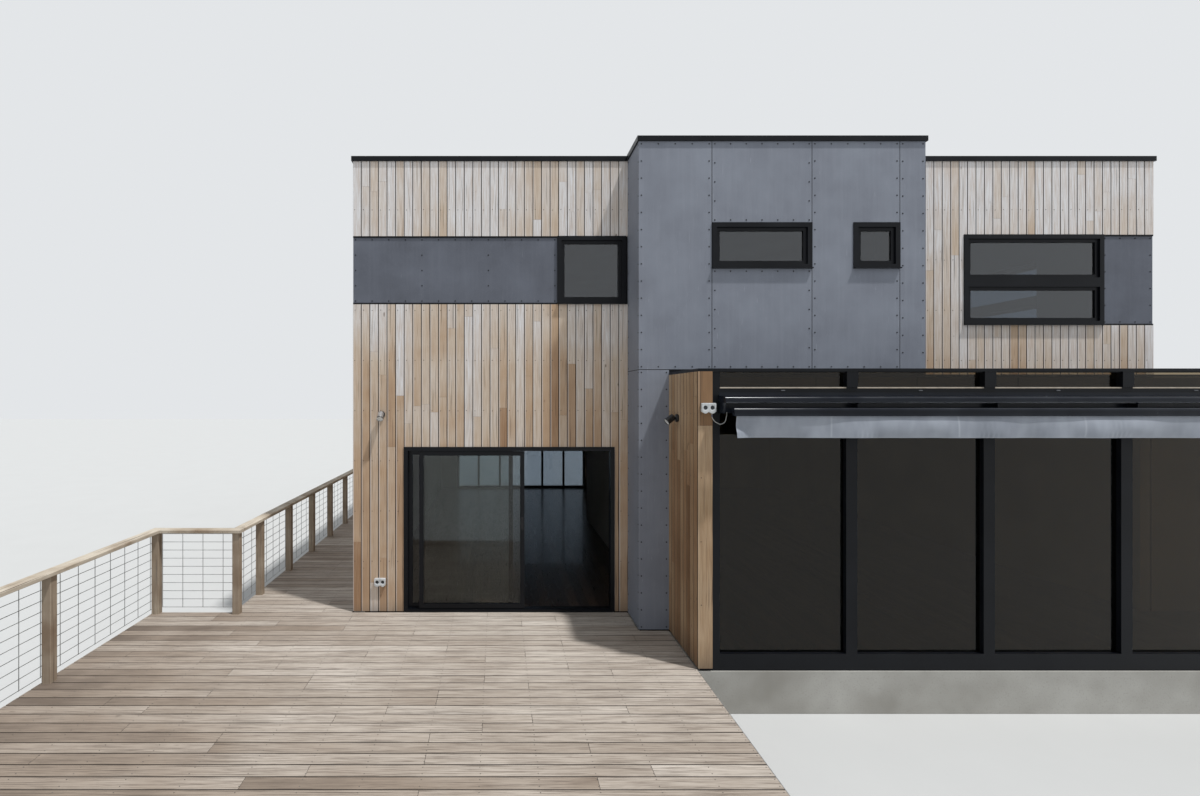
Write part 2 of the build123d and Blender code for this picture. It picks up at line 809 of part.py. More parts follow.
SLIDE_MIDDLE = SLIDE_NEAR + DOOR_PANEL_T / 2


def door_frame():
    frame = FRONT.slab(*DOOR, DOOR_NEAR, DOOR_FAR)
    inside = (INSIDE_LEFT, INSIDE_RIGHT, INSIDE_SILL, INSIDE_HEAD)
    frame = cut(FRONT, frame, [inside], DOOR_NEAR, DOOR_FAR)
    near = SLIDE_MIDDLE - TRACK_W / 2
    track = FRONT.slab(INSIDE_LEFT, INSIDE_RIGHT, INSIDE_SILL, TRACK_TOP, near, near + TRACK_W)
    return frame + track


def door_sash(left, near, bottom, top):
    hole = (left, left + DOOR_PANEL_WIDTH, bottom, top)
    return FRONT.ring(hole, DOOR_STILE_W, near, near + DOOR_PANEL_T)


def door_pane(left, near, bottom, top):
    hole = (left, left + DOOR_PANEL_WIDTH, bottom, top)
    depth = near + (DOOR_PANEL_T - PANE_T) / 2
    return FRONT.slab(*inner_hole(hole, DOOR_STILE_W), depth, depth + PANE_T)


def roller_places():
    right = SLIDE_LEFT + DOOR_PANEL_WIDTH
    return (SLIDE_LEFT + ROLLER_INSET, right - ROLLER_INSET)


ROLLER_Z = TRACK_TOP + RUNNING_GAP + ROLLER_R


def sliding_sash():
    sash = door_sash(SLIDE_LEFT, SLIDE_NEAR, SLIDE_BOTTOM, SLIDE_TOP)
    reach = ROLLER_R + ROLLER_ROOM
    half = ROLLER_W / 2 + CHEEK_ROOM
    near, far = SLIDE_MIDDLE - half, SLIDE_MIDDLE + half
    for x in roller_places():
        sash -= FRONT.slab(x - reach, x + reach, SLIDE_BOTTOM, ROLLER_Z + reach, near, far)
    return sash


def sliding_rollers():
    # Each wheel with its axle, whose ends meet the cheeks of its slot.
    wheels = []
    for x in roller_places():
        axle = Cylinder(ROLLER_R / 4, ROLLER_W + 2 * CHEEK_ROOM)
        wheel = Cylinder(ROLLER_R, ROLLER_W) + axle
        place = Pos(x, SLIDE_MIDDLE, FLOOR_HEIGHT + ROLLER_Z)
        wheels.append(place * Rot(90, 0, 0) * wheel)
    return wheels


def sliding_latch():
    middle = SLIDE_LEFT + DOOR_PANEL_WIDTH - DOOR_STILE_W / 2
    low, high = LATCH_HEIGHT, LATCH_HEIGHT + LATCH_H
    near = SLIDE_NEAR - LATCH_T
    back = FRONT.slab(middle - LATCH_W / 2, middle + LATCH_W / 2, low, high, near, SLIDE_NEAR)
    left, right = middle - GRIP_W / 2, middle + GRIP_W / 2
    grip = FRONT.slab(left, right, low + GRIP_INSET, high - GRIP_INSET, near - GRIP_T, near)
    return back + grip


# Awning
def awning_ends():
    return (FRAME_LEFT + HOOD_END_GAP, FRAME_RIGHT - HOOD_END_GAP)


def between_cheeks():
    x0, x1 = awning_ends()
    return (x0 + CHEEK_T, x1 - CHEEK_T)


def extrusion(section, x0, x1):
    # Runs along X a section drawn as distance in front of the frame and height.
    corner = (x1, FRAME_FRONT, FLOOR_HEIGHT)
    plane = Plane(origin=corner, x_dir=(0, -1, 0), z_dir=(-1, 0, 0))
    return extrude(plane * section, x1 - x0)


def block(out0, out1, z0, z1):
    # A rectangular section between two distances and two heights.
    return outline((out0, z0), (out1, z0), (out1, z1), (out0, z1))


def disc(out, z, radius):
    return Pos(out, z) * Circle(radius)


HOOD_BACK = HOOD_TOP - HOOD_FLANGE
HOOD_NOSE = (HOOD_DEPTH, HOOD_BACK - HOOD_FALL)
HOOD_LOW = HOOD_NOSE[1] - HOOD_NOSE_H
ROLL_Z = HOOD_BACK - HOOD_FALL * ROLL_OUT / HOOD_DEPTH - HOOD_T - ROLL_CLEARANCE - ROLL_R
TORSION_BACK = BRACKET_DEPTH - TORSION_BAR
ARM_LOW = TORSION_Z - TORSION_BAR / 2
ARM_TOP = ARM_LOW + TORSION_BAR
UPPER_ARM_OUT = BRACKET_DEPTH + ARM_GAP
BAR_BACK = BAR_FRONT - BAR_DEPTH
FOREARM_OUT = BAR_BACK - WRIST_PLATE_T - ARM_GAP - ARM_W


def hood_outline():
    corners = (0, HOOD_BACK), HOOD_NOSE, (HOOD_DEPTH, HOOD_LOW), (0, HOOD_LOW)
    return rounded(outline(*corners), HOOD_NOSE, HOOD_NOSE_R)


def awning_hood():
    # A back plate on the frame, a falling roof, a rounded nose and a turned-in lip.
    outside = hood_outline()
    shell = outside - offset(outside, -HOOD_T)
    mouth = block(HOOD_T, HOOD_DEPTH - HOOD_LIP, HOOD_LOW, HOOD_LOW + HOOD_T)
    back = block(0, HOOD_T, BRACKET_LOW, HOOD_TOP)
    return extrusion(shell - mouth + back, *between_cheeks())


def end_cheek(x0, x1):
    # Closes one end of the hood and carries the roll and the torsion bar.
    foot = (CHEEK_LOW_DEPTH, CHEEK_LOW)
    corners = (0, HOOD_LOW), (0, CHEEK_LOW), foot, (HOOD_DEPTH, HOOD_LOW)
    lower = rounded(outline(*corners), foot, CHEEK_R)
    return extrusion(hood_outline() + lower, x0, x1)


def bracket_places():
    return [right + (MULLION_W - BRACKET_T) / 2 for _, right in pane_edges()[:-1]]


def wall_bracket(x):
    # A plate on the hood's back with a cradle for the roll and a seat for the torsion bar.
    roof = HOOD_BACK - HOOD_FALL - HOOD_T
    shelf = ROLL_Z - ROLL_R + CRADLE_BITE
    back = ROLL_OUT - ROLL_R + CRADLE_BITE
    leg = block(HOOD_T, back, shelf, roof - ROLL_CLEARANCE)
    arm = block(HOOD_T, BRACKET_DEPTH, BRACKET_LOW, shelf)
    arm = rounded(arm, (BRACKET_DEPTH, shelf), BRACKET_R)
    section = leg + arm - disc(ROLL_OUT, ROLL_Z, ROLL_R) - torsion_section()
    return extrusion(section, x, x + BRACKET_T)


def motor_head():
    x0, _ = between_cheeks()
    section = block(*MOTOR_HEAD_OUT, MOTOR_HEAD_LOW, MOTOR_HEAD_LOW + MOTOR_HEAD_H)
    return extrusion(section, x0, x0 + MOTOR_HEAD)


def awning_brackets():
    x0, x1 = awning_ends()
    cheeks = [end_cheek(x0, x0 + CHEEK_T), end_cheek(x1 - CHEEK_T, x1)]
    return [*cheeks, *[wall_bracket(x) for x in bracket_places()], motor_head()]


def torsion_section():
    return block(TORSION_BACK, BRACKET_DEPTH, ARM_LOW, ARM_TOP)


def torsion_bar():
    return extrusion(torsion_section(), *between_cheeks())


def fabric_roll():
    return extrusion(disc(ROLL_OUT, ROLL_Z, ROLL_R), *between_cheeks())


def front_bar():
    # An extruded bar with a rounded nose, a flat recess over a rib, and a slot for the cloth.
    low, high = BAR_Z, BAR_Z + BAR_H
    full = rounded(block(BAR_BACK, BAR_FRONT, low, high), (BAR_FRONT, high), BAR_NOSE_R)
    rib = low + BAR_RIB_H
    recess = block(BAR_FRONT - BAR_RECESS, BAR_FRONT, rib, rib + BAR_FACE_H)
    middle = BAR_FRONT - VALANCE_SETBACK
    half = CLOTH_SLOT_W / 2
    slot = block(middle - half, middle + half, low, low + CLOTH_SLOT_DEPTH)
    x0, x1 = FRAME_LEFT + BAR_END_GAP, FRAME_RIGHT - BAR_END_GAP
    caps = [extrusion(full, x0, x0 + BAR_CAP_T), extrusion(full, x1 - BAR_CAP_T, x1)]
    return [extrusion(full - recess - slot, x0 + BAR_CAP_T, x1 - BAR_CAP_T), *caps]


def valance():
    x0 = FRAME_LEFT + BAR_END_GAP + VALANCE_END_GAP
    x1 = FRAME_RIGHT - BAR_END_GAP - VALANCE_END_GAP
    near = BAR_FRONT - VALANCE_SETBACK - VALANCE_T / 2
    top = BAR_Z + CLOTH_SLOT_DEPTH
    return extrusion(block(near, near + VALANCE_T, BAR_Z - VALANCE_H, top), x0, x1)


# Folded arms. Each has a clamp on the torsion bar, two tubes side by side, and a pin at the
# shoulder, the elbow and the wrist.
UPPER_ARM_MIDDLE = UPPER_ARM_OUT + ARM_W / 2
FOREARM_MIDDLE = FOREARM_OUT + ARM_W / 2
ELBOW_MIDDLE = (UPPER_ARM_MIDDLE + FOREARM_MIDDLE) / 2


def level_plate(x0, x1, out0, out1, z0, z1):
    return bar(x0, x1, FRAME_FRONT - out1, FRAME_FRONT - out0, z0, z1)


def eye(x, out, radius, z0, z1):
    # An upright disc or pin at a pivot.
    place = Pos(x, FRAME_FRONT - out, FLOOR_HEIGHT + z0)
    return place * Cylinder(radius, z1 - z0, align=(Align.CENTER, Align.CENTER, Align.MIN))


def cheeks(x, out, x0, x1, out0, out1):
    # Two plates over and under an arm, rounded at the pivot and square at the root.
    plates = []
    for z in (ARM_LOW - FORK_T, ARM_TOP):
        root = level_plate(x0, x1, out0, out1, z, z + FORK_T)
        plates.append(root + eye(x, out, ARM_W / 2, z, z + FORK_T))
    return plates


def pin(x, out):
    return eye(x, out, PIN_R, ARM_LOW - FORK_T - PIN_HEAD, ARM_TOP + FORK_T + PIN_HEAD)


def arm_tube(x0, x1, out):
    tube = level_plate(x0, x1, out, out + ARM_W, ARM_LOW, ARM_TOP)
    return eased(tube, Axis.X, ARM_EASE)


def shoulder_clamp(x):
    # Jaws over and under the torsion bar, closed behind it, that reach out to the pivot.
    half = CLAMP_W / 2
    low, high = ARM_LOW - FORK_T, ARM_TOP + FORK_T
    clamp = level_plate(x - half, x + half, TORSION_BACK - CLAMP_T, BRACKET_DEPTH, low, high)
    clamp -= level_plate(x - half, x + half, TORSION_BACK, BRACKET_DEPTH, ARM_LOW, ARM_TOP)
    half = ARM_W / 2
    clamp += cheeks(x, UPPER_ARM_MIDDLE, x - half, x + half, BRACKET_DEPTH, UPPER_ARM_MIDDLE)
    return clamp - pin(x, UPPER_ARM_MIDDLE)


def upper_arm(shoulder, elbow):
    # The tube stops short of the elbow, and its two cheeks go on over the pivot.
    arm = arm_tube(shoulder, elbow - ARM_W / 2 - ARM_GAP, UPPER_ARM_OUT)
    arm += eye(shoulder, UPPER_ARM_MIDDLE, ARM_W / 2, ARM_LOW, ARM_TOP)
    edge = ELBOW_MIDDLE + ARM_W / 2
    arm += cheeks(elbow, ELBOW_MIDDLE, elbow - FORK_REACH, elbow, UPPER_ARM_OUT, edge)
    return arm - pin(shoulder, UPPER_ARM_MIDDLE) - pin(elbow, ELBOW_MIDDLE)


def forearm(wrist, elbow):
    arm = arm_tube(wrist, elbow, FOREARM_OUT)
    arm += eye(wrist, FOREARM_MIDDLE, ARM_W / 2, ARM_LOW, ARM_TOP)
    arm += eye(elbow, ELBOW_MIDDLE, ARM_W / 2, ARM_LOW, ARM_TOP)
    return arm - pin(wrist, FOREARM_MIDDLE) - pin(elbow, ELBOW_MIDDLE)


def wrist_bracket(x):
    half = ARM_W / 2
    low, high = ARM_LOW - FORK_T, ARM_TOP + FORK_T
    bracket = level_plate(x - half, x + half, BAR_BACK - WRIST_PLATE_T, BAR_BACK, low, high)
    bracket += cheeks(x, FOREARM_MIDDLE, x - half, x + half, FOREARM_MIDDLE, BAR_BACK)
    return bracket - pin(x, FOREARM_MIDDLE)


def folded_arm():
    shoulder = awning_ends()[0] + ARM_INSET
    elbow = shoulder + ARM_LENGTH
    wrist = shoulder + WRIST_OFFSET
    return [
        shoulder_clamp(shoulder),
        upper_arm(shoulder, elbow),
        forearm(wrist, elbow),
        wrist_bracket(wrist),
        pin(shoulder, UPPER_ARM_MIDDLE),
        pin(elbow, ELBOW_MIDDLE),
        pin(wrist, FOREARM_MIDDLE),
    ]


def awning_arms():
    # The right arm mirrors the left one about the middle of the awning.
    left = folded_arm()
    middle = Plane.YZ.offset(sum(awning_ends()) / 2)
    return left + [mirror(piece, about=middle) for piece in left]


# Deck
WALKWAY_RIGHT = -HALF - DECK_GAP
DECK_BACK = -DECK_GAP


def deck_boards():
    # Sheets of decking that meet at board gaps: the terrace, its strip beside the wall
    # up to the box, and the walkway.
    z0, z1 = -DECK_BOARD_T, 0
    step = BOX_FRONT - DECK_GAP
    terrace = bar(DECK_LEFT, PAVILION_LEFT - DECK_GAP, DECK_FRONT, step, z0, z1)
    strip = bar(DECK_LEFT, BOX_LEFT - DECK_GAP, step + BOARD_GAP, DECK_BACK, z0, z1)
    walk_start = DECK_BACK + BOARD_GAP
    walkway = bar(WALKWAY_LEFT, WALKWAY_RIGHT, walk_start, WALKWAY_LENGTH, z0, z1)
    return [terrace, strip, walkway]


def spread(start, end, size, pitch):
    # Even places for pieces of one size, none further apart than the pitch.
    count = max(1, -int(-(end - start - size) // pitch))
    return [start + i * (end - start - size) / count for i in range(count + 1)]


JOIST_TOP = -DECK_BOARD_T
JOIST_BOTTOM = JOIST_TOP - JOIST_H
BEARER_BOTTOM = JOIST_BOTTOM - BEARER_H


def deck_joists():
    joists = []
    for x in spread(DECK_LEFT, PAVILION_LEFT - DECK_GAP, JOIST_W, JOIST_PITCH):
        beside_box = x + JOIST_W > BOX_LEFT - DECK_GAP
        back = (BOX_FRONT if beside_box else 0) - LEDGER_T
        joists.append(bar(x, x + JOIST_W, DECK_FRONT, back, JOIST_BOTTOM, JOIST_TOP))
    for x in spread(WALKWAY_LEFT, -HALF, JOIST_W, JOIST_PITCH):
        joists.append(bar(x, x + JOIST_W, 0, WALKWAY_LENGTH, JOIST_BOTTOM, JOIST_TOP))
    return joists


def deck_ledgers():
    # Planks bolted to the slab's edge, which carry the joists' house ends.
    z0, z1 = JOIST_BOTTOM, JOIST_TOP
    corner = BOX_LEFT - LEDGER_T
    wall = bar(DECK_LEFT, corner - JOINT, -LEDGER_T, 0, z0, z1)
    side = bar(corner, BOX_LEFT, BOX_FRONT + JOINT, 0, z0, z1)
    front = bar(corner, PAVILION_LEFT, BOX_FRONT - LEDGER_T, BOX_FRONT, z0, z1)
    return [wall, side, front]


def front_bearer_places():
    return spread(DECK_FRONT, BOX_FRONT - DECK_GAP, BEARER_W, BEARER_PITCH)


def walkway_bearer_places():
    return spread(0, WALKWAY_LENGTH, BEARER_W, BEARER_PITCH)


def deck_bearers():
    bearers = []
    for y in front_bearer_places():
        right = PAVILION_LEFT - DECK_GAP
        bearers.append(
            bar(DECK_LEFT, right, y, y + BEARER_W, BEARER_BOTTOM, JOIST_BOTTOM)
        )
    for y in walkway_bearer_places():
        bearers.append(bar(WALKWAY_LEFT, -HALF, y, y + BEARER_W, BEARER_BOTTOM, JOIST_BOTTOM))
    return bearers


def deck_stumps():
    stumps = []
    inset = (STUMP - BEARER_W) / 2
    for y in front_bearer_places():
        for x in spread(DECK_LEFT, PAVILION_LEFT - DECK_GAP, STUMP, STUMP_PITCH):
            stumps.append(
                bar(x, x + STUMP, y - inset, y + STUMP - inset, -FLOOR_HEIGHT, BEARER_BOTTOM)
            )
    for y in walkway_bearer_places():
        for x in spread(WALKWAY_LEFT, WALKWAY_RIGHT, STUMP, STUMP_PITCH):
            stumps.append(
                bar(x, x + STUMP, y - inset, y + STUMP - inset, -FLOOR_HEIGHT, BEARER_BOTTOM)
            )
    return stumps


def deck_trim():
    right = PAVILION_LEFT - DECK_GAP + TRIM_T
    return bar(right - TRIM_T, right, DECK_FRONT, PAVILION_FRONT, JOIST_BOTTOM, 0)


# Balustrade
RAIL_BOTTOM = RAIL_TOP - RAIL_T
OUTER_POST_X = DECK_LEFT + POST_INSET
WALK_POST_X = WALKWAY_LEFT + POST_INSET
CORNER_POST_Y = -POST
END_POST_Y = WALKWAY_LENGTH - POST_INSET - POST


def post_places():
    places = [(OUTER_POST_X, y) for y in spread(DECK_FRONT, 0, POST, DECK_POST_PITCH)]
    places += [(WALK_POST_X, CORNER_POST_Y)]
    walk = spread(FIRST_WALK_POST, END_POST_Y + POST, POST, WALK_POST_PITCH)
    places += [(WALK_POST_X, y) for y in walk]
    places += [(WALKWAY_RIGHT - POST, END_POST_Y)]
    return places


def balustrade_posts():
    posts = [bar(x, x + POST, y, y + POST, 0, RAIL_BOTTOM) for x, y in post_places()]
    return [eased(post, Axis.Z, POST_EASE) for post in posts]


def handrail():
    side = (RAIL_W - POST) / 2
    left = OUTER_POST_X - side
    walk = WALK_POST_X - side
    corner = CORNER_POST_Y - side
    end = END_POST_Y - side
    z0, z1 = RAIL_BOTTOM, RAIL_TOP
    edge = bar(left, left + RAIL_W, DECK_FRONT, corner + RAIL_W, z0, z1)
    across = bar(left + RAIL_W + JOINT, walk + RAIL_W, corner, corner + RAIL_W, z0, z1)
    along = bar(walk, walk + RAIL_W, corner + RAIL_W + JOINT, end + RAIL_W, z0, z1)
    last = bar(walk + RAIL_W + JOINT, WALKWAY_RIGHT, end, end + RAIL_W, z0, z1)
    lengths = [(edge, Axis.Y), (across, Axis.X), (along, Axis.Y), (last, Axis.X)]
    return [eased(rail, axis, RAIL_EASE) for rail, axis in lengths]


def wire_places(start, end, pitch):
    # Wires at an even pitch, and one more that ends the panel.
    last = end - WIRE
    count = int((last - 2 * WIRE - start) // pitch) + 1
    return [start + i * pitch for i in range(count)] + [last]


def mesh_panel(x, y, length, turn):
    # Upright wires with level ones laid over them, welded where they cross.
    z0, z1 = MESH_LIFT, RAIL_BOTTOM
    uprights = [bar(u, u + WIRE, 0, WIRE, z0, z1) for u in wire_places(0, length, WIRE_PITCH_X)]
    levels = wire_places(z0, z1, WIRE_PITCH_Z)
    across = [bar(0, length, WIRE, 2 * WIRE, z, z + WIRE) for z in levels]
    return [Pos(x, y) * Rot(0, 0, turn) * wire for wire in uprights + across]


def mesh_left():
    return mesh_panel(OUTER_POST_X, DECK_FRONT, -DECK_FRONT, 90)


def mesh_corner():
    left = OUTER_POST_X + POST
    return mesh_panel(left, 0, WALK_POST_X - 2 * WIRE - left, 0)


def mesh_walkway():
    return mesh_panel(WALK_POST_X, 0, END_POST_Y + POST, 90)


def mesh_end():
    left = WALK_POST_X + POST
    return mesh_panel(left, END_POST_Y + POST, WALKWAY_RIGHT - left, 0)


# Small fittings
STANDING = (Align.CENTER, Align.CENTER, Align.MIN)


def spotlight(foot, outward, aim):
    # A round base, a stem and a tilting head with a wider rim round its lens.
    foot = Vector(foot[0], foot[1], FLOOR_HEIGHT + foot[2])
    outward = Vector(*outward)
    aim = Vector(*aim).normalized()
    wall = Plane(origin=foot, z_dir=outward)
    middle = Plane(origin=foot + outward * SPOT_REACH + aim * SPOT_LEAN, z_dir=aim)
    light = wall * Cylinder(SPOT_BASE_R, SPOT_BASE_T, align=STANDING)
    light += wall * Cylinder(SPOT_STEM_R, SPOT_REACH, align=STANDING)
    light += middle * Cylinder(SPOT_R, SPOT_LENGTH)
    light += middle * (Pos(0, 0, SPOT_LENGTH / 2) * Cylinder(SPOT_RIM_R, SPOT_RIM_T))
    rim_end = SPOT_LENGTH / 2 + SPOT_RIM_T / 2
    lens = Cylinder(SPOT_R, LENS_DEPTH, align=(Align.CENTER, Align.CENTER, Align.MAX))
    return light - middle * (Pos(0, 0, rim_end) * lens)


def double_outlet(face, u, z):
    # A weatherproof double socket: a rounded body, two recessed sockets and two lobes
    # under them for the plugs' leads.
    body = fillet(Rectangle(OUTLET_W, OUTLET_H).vertices(), OUTLET_R)
    sockets = []
    for side in (-1, 1):
        place = Pos(side * OUTLET_W / 4, -OUTLET_H / 2 + LOBE_R / 2)
        body += place * Circle(LOBE_R)
        sockets.append(place * Pos(0, LOBE_R) * Circle(SOCKET_R))
    solid = extrude(body, OUTLET_DEPTH)
    for socket in sockets:
        solid -= Pos(0, 0, OUTLET_DEPTH - SOCKET_DEPTH) * extrude(socket, SOCKET_DEPTH)
    return face.plane * (Pos(u, FLOOR_HEIGHT + z) * solid)


OUTLET_LOW = CORNER_OUTLET_Z - OUTLET_H / 2 - LOBE_R / 2
LEAD_OUT = sum(MOTOR_HEAD_OUT) / 2
LEAD_LEFT = CORNER_OUTLET_X + OUTLET_W / 4
LEAD_RIGHT = between_cheeks()[0] + LEAD_INLET


def awning_lead():
    # A stiff lead that hangs in a short loop from the outlet to the awning's motor.
    points = [(LEAD_LEFT, OUTLET_LOW), (LEAD_LEFT, OUTLET_LOW - LEAD_DROP), *LEAD_BENDS]
    points += [(LEAD_RIGHT, MOTOR_HEAD_LOW - LEAD_DROP), (LEAD_RIGHT, MOTOR_HEAD_LOW)]
    route = [Vector(x, FRAME_FRONT - LEAD_OUT, FLOOR_HEIGHT + z) for x, z in points]
    runs = [end - start for start, end in zip(route, route[1:])]
    radii = []
    for before, after in zip(runs, runs[1:]):
        shorter = min(before.length, after.length)
        radii.append(BEND_SHARE * shorter / tan(radians(before.get_angle(after) / 2)))
    path = FilletPolyline(*route, radius=radii)
    section = Plane(origin=route[0], z_dir=runs[0]) * RegularPolygon(LEAD_R, LEAD_SIDES)
    print("lead", round(path.length), "mm, radii", [round(radius) for radius in radii])
    return sweep(section, path=path)


NODES = {
    "floor_slab": floor_slab(),
    "timber_floor": timber_floor(),
    "upper_floor": plate(upper_outline(), GROUND_CEILING, UPPER_FLOOR),
    "main_roof": plate(upper_outline(), ROOF_BASE, ROOF_BASE + ROOF_T),
    "roof_cap": roof_cap(),
    "front_wall_beside_door": front_wall_beside_door(),
    "front_wall_over_door": front_wall_over_door(),
    "front_wall_right": front_wall_right(),
    "west_wall": west_wall(),
    "east_wall": east_wall(),
    "back_wall": back_wall(),
    "hall_wall": hall_wall(),
    "box_front_wall": box_front_wall(),
    "box_side_walls": box_side_walls(),
    "box_leg": box_leg(),
    "living_beam": living_beam(),
    "box_panels": box_panels(),
    "front_boards": front_left_boards() + front_right_boards(),
    "side_boards": [
        *side_boards(WEST, -REAR + CLADDING_T, -CLADDING_T, BAND, []),
        *side_boards(EAST, CLADDING_T, REAR - CLADDING_T, EAST_BAND, []),
    ],
    "back_boards": side_boards(BACK, -HALF, HALF, BAND, [REAR_DOORS]),
    "pavilion_boards": pavilion_boards(),
    "band_panels": [
        *band_panels(FRONT, -HALF, BAND_WINDOW[0], BAND, []),
        *band_panels(FRONT, EAST_FRONT_WINDOW[1], HALF, EAST_BAND, []),
        *band_panels(WEST, -REAR + CLADDING_T, -CLADDING_T, BAND, WEST_HOLES),
        *band_panels(EAST, CLADDING_T, REAR - CLADDING_T, EAST_BAND, EAST_HOLES),
        *band_panels(BACK, -HALF, HALF, BAND, BACK_HOLES[:2]),
    ],
    "wall_flashings": [
        *band_flashings(FRONT, -HALF, BAND_WINDOW[0], BAND, []),
        *band_flashings(FRONT, EAST_FRONT_WINDOW[1], HALF, EAST_BAND, []),
        *band_flashings(WEST, -REAR + CLADDING_T, -CLADDING_T, BAND, WEST_HOLES),
        *band_flashings(EAST, CLADDING_T, REAR - CLADDING_T, EAST_BAND, EAST_HOLES),
        *band_flashings(BACK, -HALF, HALF, BAND, BACK_HOLES[:2]),
        *roof_aprons(),
    ],
    "pavilion_side_walls": pavilion_side_walls(),
    "pavilion_back_wall": pavilion_back_wall(),
    "pavilion_roof": pavilion_roof(),
    "pavilion_cap": pavilion_cap(),
    "pavilion_frame": pavilion_frame(),
    "pavilion_glass": panes(0) + panes(1),
    "window_frames": [window_frame(*window) for window in WINDOWS] + [rear_glazing_frame()],
    "window_sashes": [sash for window in WINDOWS for sash in window_sashes(*window)],
    "window_glass": [pane for window in WINDOWS for pane in window_panes(*window)] + rear_glass(),
    "door_frame": door_frame(),
    "fixed_sash": door_sash(INSIDE_LEFT, FIXED_NEAR, INSIDE_SILL, INSIDE_HEAD),
    "fixed_glass": door_pane(INSIDE_LEFT, FIXED_NEAR, INSIDE_SILL, INSIDE_HEAD),
    "sliding_sash": sliding_sash(),
    "sliding_glass": door_pane(SLIDE_LEFT, SLIDE_NEAR, SLIDE_BOTTOM, SLIDE_TOP),
    "sliding_hardware": sliding_rollers() + [sliding_latch()],
    "awning_hood": awning_hood(),
    "awning_brackets": awning_brackets(),
    "awning_torsion_bar": torsion_bar(),
    "awning_roll": fabric_roll(),
    "awning_arms": awning_arms(),
    "awning_front_bar": front_bar(),
    "awning_valance": valance(),
    "deck_boards": deck_boards(),
    "deck_joists": deck_joists(),
    "deck_bearers": deck_bearers(),
    "deck_ledgers": deck_ledgers(),
    "deck_stumps": deck_stumps(),
    "balustrade_posts": balustrade_posts(),
    "handrail": handrail(),
    "mesh_left": mesh_left(),
    "mesh_walkway": mesh_walkway() + mesh_corner() + mesh_end(),
    "deck_trim": deck_trim(),
    "small_fittings": [
        spotlight((-HALF + LIGHT_FROM_CORNER, 0, LIGHT_Z), (0, -1, 0), (0, -1, -1)),
        spotlight((PAVILION_LEFT, SPOT_Y, SPOT_Z), (-1, 0, 0), (-1, -0.2, -0.75)),
        double_outlet(FRONT, -HALF + OUTLET_FROM_CORNER, OUTLET_Z),
        double_outlet(PAVILION_FACE, CORNER_OUTLET_X, CORNER_OUTLET_Z),
    ],
    "awning_lead": awning_lead(),
}

os.makedirs("parts", exist_ok=True)
for name, shape in NODES.items():
    solid = Compound(children=shape) if isinstance(shape, list) else shape
    export_step(solid, f"parts/{name}.step")
print(len(NODES), "nodes")
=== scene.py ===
import itertools
import math
import random

import bmesh
import bpy
import numpy as np
from mathutils import Matrix, Vector


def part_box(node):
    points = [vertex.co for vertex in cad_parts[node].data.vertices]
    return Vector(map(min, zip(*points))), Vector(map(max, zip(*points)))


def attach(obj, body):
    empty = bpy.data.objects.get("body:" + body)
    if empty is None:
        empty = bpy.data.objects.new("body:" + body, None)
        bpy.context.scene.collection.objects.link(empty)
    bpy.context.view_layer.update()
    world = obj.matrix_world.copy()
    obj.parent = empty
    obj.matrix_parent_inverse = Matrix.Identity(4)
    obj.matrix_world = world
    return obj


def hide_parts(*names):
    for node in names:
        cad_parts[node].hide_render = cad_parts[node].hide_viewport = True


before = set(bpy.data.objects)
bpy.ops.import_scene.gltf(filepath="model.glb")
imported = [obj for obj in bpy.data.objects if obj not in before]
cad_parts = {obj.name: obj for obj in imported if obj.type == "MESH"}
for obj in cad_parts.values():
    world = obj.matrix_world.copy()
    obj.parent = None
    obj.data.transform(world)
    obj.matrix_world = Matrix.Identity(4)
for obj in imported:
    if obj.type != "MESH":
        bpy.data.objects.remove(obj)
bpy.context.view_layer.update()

HOUSE = "house"
FLOOR_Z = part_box("timber_floor")[1].z

# Camera: level, square to the front, framed by a shift
PHOTO_W, PHOTO_H = 1200, 796
FOCAL_PX = 594
VANISHING_X, VANISHING_Y = 497, 397
SENSOR_MM = 36
CAMERA_X = -3.307
CAMERA_Y = -7.665
CAMERA_OVER_DECK = 2.774
VIEW_END = 300

# Light: a high sun from the right and a pale sky
SUN_TRAVEL = (-0.385, 0.24, -1)
SUN_STRENGTH = 3.2
SUN_ANGLE = 2.5
SKY = (0.84, 0.89, 0.95)
SKY_STRENGTH = 0.7
BACKDROP = (0.77, 0.79, 0.81)
STAGE_SIZE = 160
STAGE_DROP = 0.002

# How each side of the house runs, seen from outside, and which way is inwards
SIDES = {
    "front": ((1, 0, 0), (0, 1, 0)),
    "left": ((0, -1, 0), (1, 0, 0)),
    "right": ((0, 1, 0), (-1, 0, 0)),
    "back": ((-1, 0, 0), (0, -1, 0)),
}

# Upright boards
BOARD_PITCH = 0.110
BOARD_T = 0.025
BOARD_GROOVE = 0.009
GROOVE_DEPTH = 0.011
BOARD_ARRIS = 0.0012
BOARD_LENGTHS = (1.2, 3.4)
BUTT_GAP = 0.0015
SHORTEST = 0.1
JOINT_CLEAR = 0.15
SLIVER = 0.004
PLAIN_ACROSS = 0.92
NAIL_ACROSS = 0.22
NAIL_ROW = 0.654
NAIL_PITCH = 0.648
NAIL_CLEAR = 0.05
NAIL_R = 0.0055
NAIL_T = 0.0014

# Decking
DECK_PITCH = 0.145
DECK_GAP = 0.007
DECK_ARRIS = 0.004
DECK_SPANS = (4, 9)
DECK_SCREW_INSET = 0.03
DECK_SCREW_R = 0.0045

